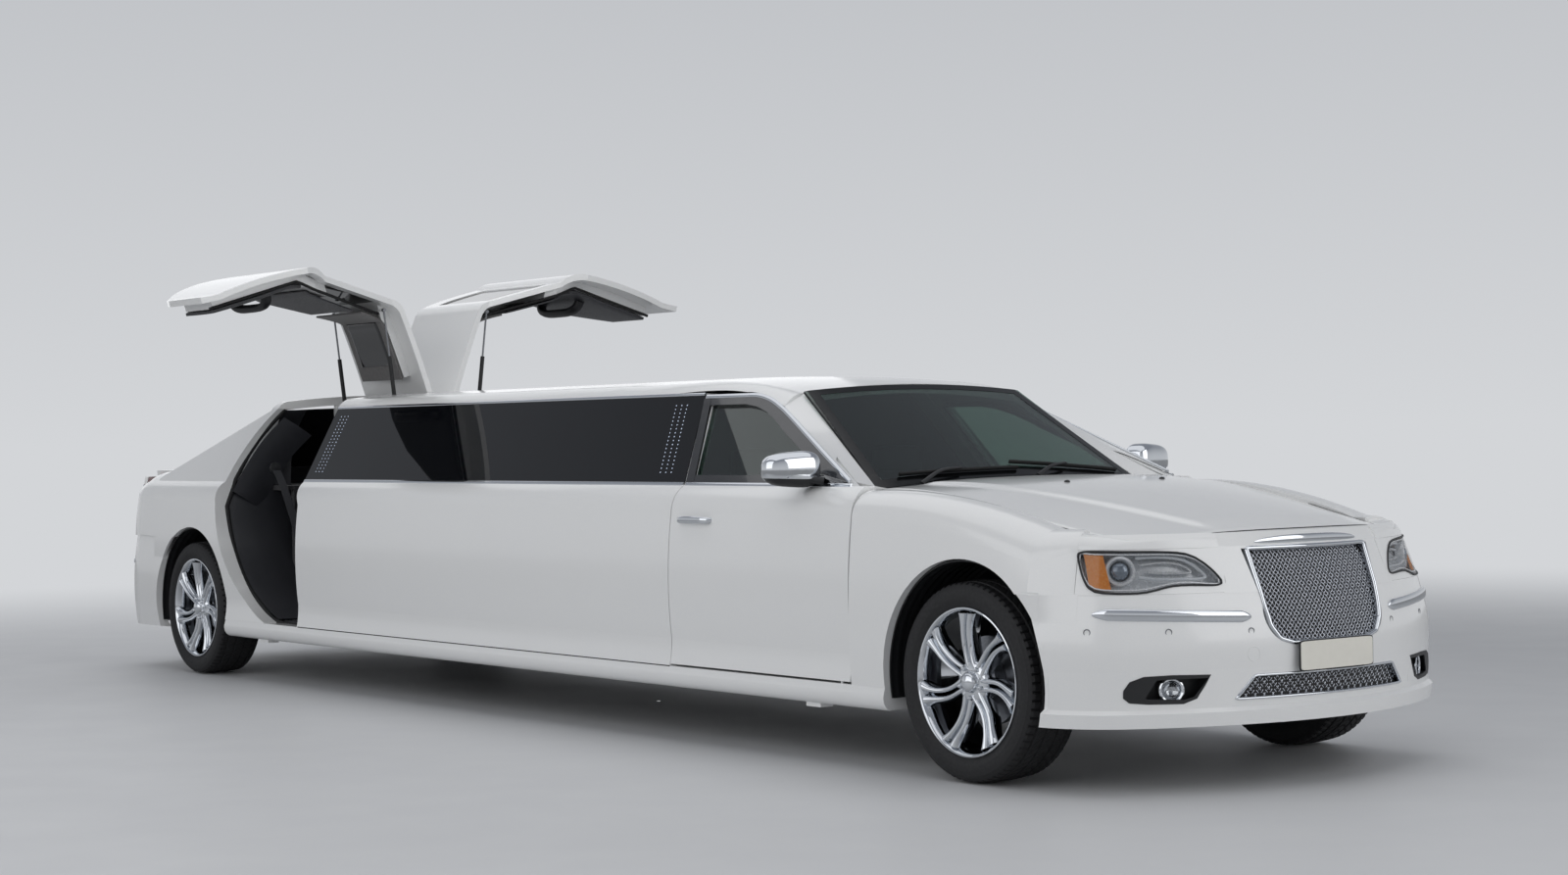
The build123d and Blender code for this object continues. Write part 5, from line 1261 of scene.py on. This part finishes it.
# Columns: name, node it stands for, centre, along, up, half sizes, number of sewn channels.
BENCHES = (
    ("rear_cushion", "rear_bench", (-2.255, 0, 0.420), (1, 0, 0.05), UP, (0.195, 0.545, 0.085), 10),
    ("rear_back", "rear_bench", (-2.555, 0, 0.765), (-0.22, 0, 0.97), (0.97, 0, 0.22),
     (0.300, 0.545, 0.075), 10),
    ("rear_plinth", "rear_bench", (-2.360, 0, 0.310), AHEAD, UP, (0.230, 0.500, 0.042), 0),
    ("side_cushion", "side_bench", (-0.400, 0.480, 0.420), (0, -1, 0.04), UP, (0.148, 1.290, 0.085), 16),
    ("side_back", "side_bench", (-0.400, 0.690, 0.735), (0, 0.20, 0.97), (0, -0.97, 0.20),
     (0.240, 1.290, 0.066), 16),
    ("side_plinth", "side_bench", (-0.400, 0.570, 0.310), LEFT, UP, (0.165, 1.190, 0.042), 0),
)
FRONT_SEAT_Y = 0.385


def front_seat(side, y):
    """Rows like those of the benches for one front seat."""
    return ((f"front_cushion_{side}", "front_seats", (1.690, y, 0.465), (1, 0, 0.06), UP,
             (0.262, 0.250, 0.088), 5),
            (f"front_back_{side}", "front_seats", (1.420, y, 0.800), (-0.24, 0, 0.97), (0.97, 0, 0.24),
             (0.300, 0.240, 0.070), 5),
            (f"front_headrest_{side}", "front_seats", (1.345, y, 1.130), UP, (1, 0, 0.1),
             (0.070, 0.125, 0.046), 0),
            (f"front_plinth_{side}", "front_seats", (1.690, y, 0.325), AHEAD, UP, (0.190, 0.195, 0.056), 0))


def pad(centre, along, up, half, pleats=0, groove=0.006, crown=0.10, exponent=0.42):
    """A stuffed pad: a squared egg of three half sizes set on the along, across and up directions.

    Its top is crowned by a share of its height, and sewn channels press in by the groove depth where the
    sine of the across position passes zero.
    """
    p, q = np.meshgrid(np.linspace(-pi / 2, pi / 2, 48), circle(72), indexing="ij")
    flat = np.abs(np.cos(p)) ** exponent
    x, y = flat * power(np.cos(q), exponent), flat * power(np.sin(q), exponent)
    z = power(np.sin(p), exponent)
    z = z * (1 + crown * (1 - x ** 2) * (1 - y ** 2) * (z > 0))
    x = x * (1 - 0.035 * (1 - y ** 2))
    y = y * (1 - 0.035 * (1 - x ** 2))
    press = 0.0
    if pleats:
        channel = np.exp(-(np.sin(pi * pleats * (y + 1) / 2) / 0.22) ** 2)
        press = groove * channel * (np.abs(y) < 0.93) * (z > -0.2)
    a = np.asarray(along, float) / np.linalg.norm(along)
    t = np.asarray(up, float) - np.dot(up, a) * a
    t = t / np.linalg.norm(t)
    b = np.cross(t, a)
    across = (x * half[0])[..., None] * a + (y * half[1])[..., None] * b
    return sheet(np.asarray(centre) + across + (z * half[2] - press)[..., None] * t, wrap_cols=True)


class LIMO_OT_seats(Operator):
    """Padded seats: two in front, the rear bench and the long bench along the left side"""
    bl_idname = "limousine.seats"
    bl_label = "Seats"

    def execute(self, context):
        rows = [row for side, sign in SIDES for row in front_seat(side, FRONT_SEAT_Y * sign)]
        for name, stands_for, centre, along, up, half, pleats in (*rows, *BENCHES):
            if "plinth" in name:
                shape = pad(centre, along, up, half, exponent=FLAT)
                piece("seat_" + name, shape, BLACK_MOULDING, sharp=40, replaces=(stands_for,))
            else:
                shape = pad(centre, along, up, half, pleats)
                made = piece("seat_" + name, shape, HIDE, sharp=70, replaces=(stands_for,))
        return {"FINISHED"}


# Tail and corners

TAIL_LAMP_Z, TAIL_LAMP_BEARING = (0.760, 1.030), (43.2, 12.8)
EXHAUST_TIP = [(0.0, 0.036), (0.110, 0.040), (0.118, 0.0385), (0.118, 0.0350), (0.100, 0.0335),
               (0.0, 0.0325)]
REAR_SENSOR = [(-0.002, 0.0004), (0.002, 0.0004), (0.002, 0.010), (-0.002, 0.011)]


def tail_point(bearing, inset, z):
    """A point of the tail's wall by bearing, inset and height."""
    return ring(bearing, inset, z, TAIL, -1.0)


def tail_lamp_inset(z, face):
    """How far the tail lamp's face stands from the plan line: it leans in by 18 mm over its height."""
    return face - 0.018 * (z - 0.748) / 0.292


class LIMO_OT_tail_trim(Operator):
    """Tail lamp frames, rear bumper strips, boot strip, sensors and exhaust tips"""
    bl_idname = "limousine.tail_trim"
    bl_label = "Tail trim"

    def execute(self, context):
        (low, high), (outer, inner) = TAIL_LAMP_Z, TAIL_LAMP_BEARING
        k, rise = np.linspace(0, 1, 60), np.linspace(low, high, 22)[1:-1]
        there, back = outer + (inner - outer) * k, inner + (outer - inner) * k
        bearing = np.concatenate([there, np.full(20, inner), back, np.full(20, outer)])
        z = np.concatenate([np.full(60, low), rise, np.full(60, high), rise[::-1]])
        path = tail_point(bearing, tail_lamp_inset(z, -0.014), z)
        lamp_frame = bar(path, 0.012, 0.012, (-1, 0.3, 0), 10, closed=True)
        bars = [bar(tail_point(38 - 20 * k, tail_lamp_inset(level, -0.0145), level), 0.010, 0.016, count=10)
                for level in (0.835, 0.905, 0.975)]
        s = np.linspace(0, 1, 70)
        strip = bar(tail_point(72 - 58 * s, 0.003, 0.600), 0.014, 0.030, UP, 14, 2.4, scale=tapered(s, 0.07))
        path = tail_point(9.5 - 19 * s, -0.0225, 0.880)
        boot = bar(path, 0.016, 0.040, UP, 14, 2.2, scale=tapered(s, 0.05))
        sensors = []
        for b in np.radians(bearing_at((0.25, 0.62), TAIL)):
            at = tail_point(np.degrees(b), 0.009, 0.520)
            sensors.append(turned(REAR_SENSOR, at, (-cos(b), sin(b), 0), 24))
        pair("tail_lamp_frame", lamp_frame, CHROME, sharp=BAR)
        pair("tail_lamp_bars", joined(bars), LIGHT_GUIDE, sharp=BAR)
        pair("rear_strip", strip, CHROME, sharp=BAR)
        pair("exhaust_tip", turned(EXHAUST_TIP, (-4.085, 0.270, 0.205), (-1, 0, 0)), CHROME)
        pair("rear_sensors", joined(sensors), BLACK_MOULDING)
        piece("boot_strip", boot, CHROME, "boot_lid", BAR)
        return {"FINISHED"}


# Top edge of the brow over the headlamp, as (x, y) pairs seen from above.
BROW_EDGE = [(3.730, 0.719), (3.800, 0.703), (3.862, 0.686), (3.905, 0.668), (3.938, 0.642), (3.962, 0.592),
             (3.995, 0.508), (4.022, 0.401)]
# Heights and half widths of the flank's curve.
FLANK_Z, FLANK_Y = (0.430, 0.690, 0.945), (0.941, 0.954, 0.934)
FLANK = np.polyfit(FLANK_Z, FLANK_Y, 2)
SKIN_PROUD, SKIN_DEEP = 0.0012, 0.012
# x of the front corner arc's centre.
CORNER_X = 3.6536


def corner_inset(bearing, z):
    """How far the faired front corner stands from its plan line.

    Above 600 mm the wall runs straight out to the fender's lower edge, which draws in with the bearing.
    """
    fender = -0.005 - 0.00133 * (90 - bearing)
    fair = np.maximum(wall_inset(z), -0.014 + (fender + 0.014) * (z - 0.600) / 0.095)
    return np.where(z > 0.600, fair, wall_inset(z))


def arch_edge(axle_x, end, z):
    """x of the wheel arch's edge at a height, on the side of the axle that end points to."""
    return axle_x + ARCH_AHEAD + end * np.sqrt(ARCH_RADIUS ** 2 - (z - ARCH_Z) ** 2)


class LIMO_OT_corner_skins(Operator):
    """Painted skins over the lamps and at the arch corners, and a matt black rod as painted shade in the gap
    beside the bonnet
    """
    bl_idname = "limousine.corner_skins"
    bl_label = "Corner skins"

    def execute(self, context):
        s, w = grid(90, 16)
        w = w[..., None]
        bearing = np.where(s < 0.32, 62.4 - 30.1 * s / 0.32, 32.3 - 14.8 * (s - 0.32) / 0.68)
        blend = eased(s / 0.55)
        low = ring(bearing, -0.0925, 0.8435)
        mid = ring(bearing, -0.114 + 0.012 * blend, 0.919 - 0.042 * blend)
        x, y = smooth_line(BROW_EDGE, 90).T
        top = xyz(x, y, bonnet_height(x, y, 1) - 0.002 * eased(s[:, 0] / 0.3))[:, None]
        skin = (1 - w) ** 2 * low + 2 * w * (1 - w) * mid + w ** 2 * top
        brow = plate(skin, skin - np.array((0.006, 0.003, 0.008)))
        # A matt black rod laid in the shut line beside and across the front of the bonnet: painted shade of
        # the gap, not a real seal.
        beside = bonnet_skin(np.linspace(0.62, 0.99, 30), 1.0) + np.array((0.0, 0.0020, -0.0010))
        across = bonnet_skin(1.0, np.linspace(0.99, 0.0, 60)) + np.array((0.0020, 0.0, -0.0010))
        gap = bar(smooth_line(np.concatenate([beside, across]), 120), 0.0045, 0.0036, count=8, exponent=2.0)

        u, v = grid(12, 40)
        z = 0.268 + 0.432 * v
        start = arch_edge(FRONT_AXLE_X, 1, z)
        x = start + (np.maximum(3.700, start + 0.012) - start) * u
        corner = NOSE[2]
        past = np.maximum(x - CORNER_X, 0)
        reach = corner + corner_inset(np.degrees(np.arccos(past / corner)), z)
        y = HALF_WIDTH - corner + np.sqrt(reach ** 2 - past ** 2) + SKIN_PROUD
        front = plate(xyz(x, y, z), xyz(x, y - SKIN_DEEP, z))
        turn, rise = grid(40, 14, (85, 60), (0.596, 0.6945))
        fairing = plate(ring(turn, corner_inset(turn, rise) + 0.0008, rise),
                        ring(turn, wall_inset(rise) - 0.004, rise))
        z = 0.268 + 0.490 * v
        start = arch_edge(REAR_AXLE_X, -1, z)
        x = start + (np.minimum(-3.592, start - 0.012) - start) * u
        y = np.polyval(FLANK, z)
        rear = plate(xyz(x, y + SKIN_PROUD, z), xyz(x, y - SKIN_DEEP, z))
        u, v = grid(60, 6)
        cap = plate(*(tail_point(45.5 - 32.8 * u, inset - 0.010 * v, 1.034 + 0.042 * v)
                      for inset in (-0.0325, -0.050)))
        pair("lamp_brow", brow, WHITE_LACQUER, sharp=SKIN)
        pair("bonnet_gap_seal", gap, RUBBER_SEAL, sharp=BAR)
        pair("arch_corner_front", joined([front, fairing]), WHITE_LACQUER, sharp=SKIN)
        pair("arch_corner_rear", rear, WHITE_LACQUER, sharp=SKIN)
        pair("tail_lamp_cap", cap, WHITE_LACQUER, sharp=SKIN)
        return {"FINISHED"}


class LIMO_OT_arch_liners(Operator):
    """Ribbed black liners inside the four wheel arches"""
    bl_idname = "limousine.arch_liners"
    bl_label = "Wheel arch liners"

    def execute(self, context):
        a, y = grid(140, 30, np.radians((-13, 193)), (0.640, 0.928))
        inner = 0.4225 + 0.002 * np.sin(y * 2 * pi / 0.036)
        for name, x, side in WHEELS:
            liner = plate(*(xyz(x + ARCH_AHEAD + r * np.cos(a), y, ARCH_Z + r * np.sin(a))
                            for r in (inner, 0.4270)))
            piece("arch_liner_" + name, mirrored(liner, side), BLACK_MOULDING, sharp=SKIN)
        return {"FINISHED"}


# Cabin

# Lines of (x, z) points along the doorway's rear edge: the lining's and the pillar cover's.
DOORWAY = [(-2.250, 0.336), (-2.408, 0.400), (-2.580, 0.504), (-2.706, 0.628), (-2.790, 0.762),
           (-2.847, 0.95), (-2.868, 1.13), (-2.852, 1.245), (-2.803, 1.345), (-2.715, 1.436)]
PILLAR = [(-2.838, 1.030), (-2.845, 1.130), (-2.832, 1.235), (-2.790, 1.330), (-2.700, 1.425)]
PILLAR_START, PILLAR_DEPTH = 0.056, 0.190
STRAP = [(-2.700, 0.640, 1.120), (-2.640, 0.625, 1.020), (-2.560, 0.600, 0.820), (-2.500, 0.588, 0.640),
         (-2.460, 0.580, 0.530)]
BUCKLE = [(-2.455, 0.579, 0.520), (-2.440, 0.577, 0.480), (-2.425, 0.575, 0.440)]
REEL = [(-0.012, 0.001), (-0.012, 0.030), (-0.004, 0.034), (0.008, 0.030), (0.010, 0.001)]
STRIKER = [(-0.010, 0.003), (-0.010, 0.020), (0.004, 0.022), (0.012, 0.017), (0.014, 0.003)]
# The steering wheel: its middle, the way its column runs, the way up its face, radius and spoke angles.
WHEEL_HUB = np.array((2.035, -0.375, 0.900))
COLUMN_WAY, WHEEL_UP = np.array((0.9, 0, -0.44)), np.array((0.44, 0, 0.9))
WHEEL_RADIUS, WHEEL_SPOKES = 0.180, (188, -8, -90)
BOSS = [(-0.020, 0.001), (-0.024, 0.040), (-0.012, 0.066), (0.020, 0.070), (0.030, 0.050), (0.032, 0.001)]
COLUMN = [(0.0, 0.001), (0.0, 0.034), (0.200, 0.040), (0.200, 0.001)]


def steering_wheel():
    """A padded rim round the hub, three flat spokes that dish away from the driver, and a turned boss."""
    left = np.array((0, 1.0, 0))
    t = circle(72)[:, None]
    path = WHEEL_HUB + WHEEL_RADIUS * (np.cos(t) * left + np.sin(t) * WHEEL_UP)
    shapes = [bar(path, 0.030, 0.034, -COLUMN_WAY, 12, 2.0, closed=True)]
    for angle in np.radians(WHEEL_SPOKES):
        way = cos(angle) * left + sin(angle) * WHEEL_UP
        out, dish = np.linspace(0.03, 0.178, 14)[:, None], np.linspace(0.020, 0, 14)[:, None]
        spoke = WHEEL_HUB + out * way + dish * COLUMN_WAY
        shapes.append(bar(spoke, 0.018, 0.038, np.cross(way, COLUMN_WAY), 10, 3))
    return joined([*shapes, turned(BOSS, WHEEL_HUB, COLUMN_WAY, 40)])


class LIMO_OT_cabin(Operator):
    """Doorway linings, sill plates, seat belts, door catches and the steering wheel with its column"""
    bl_idname = "limousine.cabin"
    bl_label = "Cabin trim"

    def execute(self, context):
        x, z = smooth_line(DOORWAY, 80).T[..., None]
        k = np.linspace(0, 1, 16)
        outer = np.interp(z, (0.32, 0.92, 1.03, 1.06, 1.44), (0.860, 0.860, 0.806, 0.796, 0.566))
        inner = np.interp(z, (0.32, 0.60, 1.06, 1.44), (0.575, 0.500, 0.470, 0.440))
        face = xyz(x + 0.014 * np.sin(pi * k) ** 0.6, outer + (inner - outer) * k, z)
        lining = plate(face, face - np.array((0.012, 0, 0)))
        x, z = smooth_line(PILLAR, 40).T[..., None]
        cover = lean(x + 0.008 + 0.010 * np.sin(pi * k), z, PILLAR_START + PILLAR_DEPTH * k)
        pillar = plate(cover, cover - np.array((0.006, 0, 0)))
        a, b = grid(30, 20, (-1.885, -2.225), (0.700, 0.850))
        tread = 0.3275 + 0.0025 * (np.sin(2 * pi * (b - 0.700) / 0.0215) > 0.2)
        buckle = bar(smooth_line(BUCKLE, 12), 0.022, 0.052, LEFT, 14, 4)
        reel = turned(REEL, (-2.704, 0.640, 1.122), (1, 0, 0.2), 32)
        pair("rear_pillar_lining", pillar, HIDE, sharp=BAR)
        pair("doorway_lining", lining, HIDE, sharp=BAR)
        sill = plate(xyz(a, b, tread), xyz(a, b, 0.3225))
        pair("sill_plate", sill, MACHINED_STEEL, sharp=40, slot="bright_rim")
        pair("rear_belt", bar(smooth_line(STRAP, 40), 0.0022, 0.046, LEFT, 10, 6), BELT_WEBBING, sharp=BAR)
        pair("belt_fittings", joined([buckle, reel]), BLACK_MOULDING, sharp=SKIN)
        pair("door_catch", turned(STRIKER, (-2.855, 0.902, 0.905), (0.3, 1, 0), 28), MACHINED_STEEL)
        column = turned(COLUMN, WHEEL_HUB + 0.026 * COLUMN_WAY, COLUMN_WAY, 32)
        piece("steering_rim", steering_wheel(), HIDE, sharp=SKIN, replaces=("steering_wheel",))
        piece("steering_column", column, BLACK_MOULDING, sharp=SKIN)
        return {"FINISHED"}


ENGINE_X = 3.060
FILLER_CAP = [(0.0, 0.001), (0.0, 0.030), (0.016, 0.030), (0.020, 0.027), (0.022, 0.012), (0.030, 0.010),
              (0.032, 0.001)]
INTAKE = [(3.310, 0.0, 0.800), (3.430, 0.0, 0.808), (3.540, -0.060, 0.800), (3.620, -0.180, 0.770),
          (3.690, -0.300, 0.735)]
FIN_PITCH, TUBE_PITCH = 0.0095, 0.040


class LIMO_OT_engine(Operator):
    """Engine under the bonnet: ribbed case, valve covers, top cover, filler cap, intake and radiator"""
    bl_idname = "limousine.engine"
    bl_label = "Engine"

    def execute(self, context):
        case = pad((ENGINE_X, 0, 0.515), AHEAD, UP, (0.352, 0.238, 0.245), 7, 0.010, 0.02, 0.22)
        valves = [pad((ENGINE_X, 0.168 * side, 0.760), AHEAD, (0, 0.42 * side, 0.91), (0.315, 0.066, 0.060),
                      exponent=0.35) for _, side in SIDES]
        u, v = grid(60, 81, (-1, 1), (-1, 1))
        dome = (1 - np.abs(u) ** 6) * (1 - np.abs(v) ** 6)
        rib = 0.006 * eased(4 * np.sin(7 * pi * v) + 0.5) * (np.abs(u) < 0.82) * (np.abs(v) < 0.72)
        crown = xyz(ENGINE_X + 0.270 * u, 0.145 * v, 0.800 + 0.055 * dome ** 0.5 + rib)
        bellows = 1 + 0.06 * np.sin(np.linspace(0, 40 * pi, 90))
        pipe = bar(smooth_line(INTAKE, 90), 0.084, 0.084, UP, 24, 2.0, scale=bellows)
        box = pad((3.770, -0.360, 0.690), AHEAD, UP, (0.095, 0.130, 0.095), 4, 0.006, 0.02, 0.25)
        a, b = grid(90, 150, (-0.340, 0.340), (0.490, 0.775))
        tubes = np.abs(np.sin(pi * a / TUBE_PITCH)) > 0.12
        fins = 3.920 - 0.004 * np.abs(np.sin(pi * b / FIN_PITCH)) * tubes
        filler = turned(FILLER_CAP, (3.250, 0.196, 0.806), (0, 0.42, 0.91), 32)
        piece("engine_case", case, CAST_METAL, sharp=BAR, replaces=("engine_block",))
        piece("valve_covers", joined(valves), MACHINED_STEEL, sharp=BAR, slot="black_structure")
        piece("engine_top_cover", plate(crown, crown - np.array((0, 0, 0.012))), BLACK_MOULDING, sharp=40)
        piece("oil_filler_cap", filler, GLOSS_BLACK)
        piece("intake_pipe", joined([pipe, box]), BLACK_MOULDING, sharp=BAR)
        piece("radiator_core", plate(xyz(fins, a, b), xyz(3.945, a, b)), MACHINED_STEEL, sharp=40,
              slot="black_structure")
        return {"FINISHED"}


class LIMO_PT_sidebar(Panel):
    """Lists the colours, sizes and pieces of the limousine"""
    bl_idname = "LIMO_PT_sidebar"
    bl_label = "Limousine"
    bl_space_type = "VIEW_3D"
    bl_region_type = "UI"
    bl_category = "Limousine"

    def draw(self, context):
        for group in (context.scene.limousine_colours, context.scene.limousine_sizes):
            for key in group.bl_rna.properties.keys():
                if key not in ("rna_type", "name"):
                    self.layout.prop(group, key)
        for operator in OPERATORS:
            self.layout.operator(operator.bl_idname)


OPERATORS = (LIMO_OT_stage, LIMO_OT_bodywork, LIMO_OT_wheels, LIMO_OT_tyres, LIMO_OT_grilles,
             LIMO_OT_headlamps, LIMO_OT_fog_lamps, LIMO_OT_bumper_trim, LIMO_OT_side_trim,
             LIMO_OT_mirrors, LIMO_OT_light_columns, LIMO_OT_windscreen_trim, LIMO_OT_bonnet,
             LIMO_OT_gull_doors, LIMO_OT_seats, LIMO_OT_tail_trim, LIMO_OT_corner_skins,
             LIMO_OT_arch_liners, LIMO_OT_cabin, LIMO_OT_engine)
CLASSES = (LimousineColours, LimousineSizes) + OPERATORS + (LIMO_PT_sidebar,)


def register():
    """Adds the classes and the two groups of settings to Blender."""
    for made in CLASSES:
        bpy.utils.register_class(made)
    bpy.types.Scene.limousine_colours = PointerProperty(type=LimousineColours)
    bpy.types.Scene.limousine_sizes = PointerProperty(type=LimousineSizes)


def unregister():
    """Takes them out again, in the other order."""
    del bpy.types.Scene.limousine_sizes
    del bpy.types.Scene.limousine_colours
    for made in reversed(CLASSES):
        bpy.utils.unregister_class(made)


def main():
    """Registers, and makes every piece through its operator."""
    register()
    for operator in OPERATORS:
        group, name = operator.bl_idname.split(".")
        getattr(getattr(bpy.ops, group), name)()


if __name__ == "__main__":
    main()
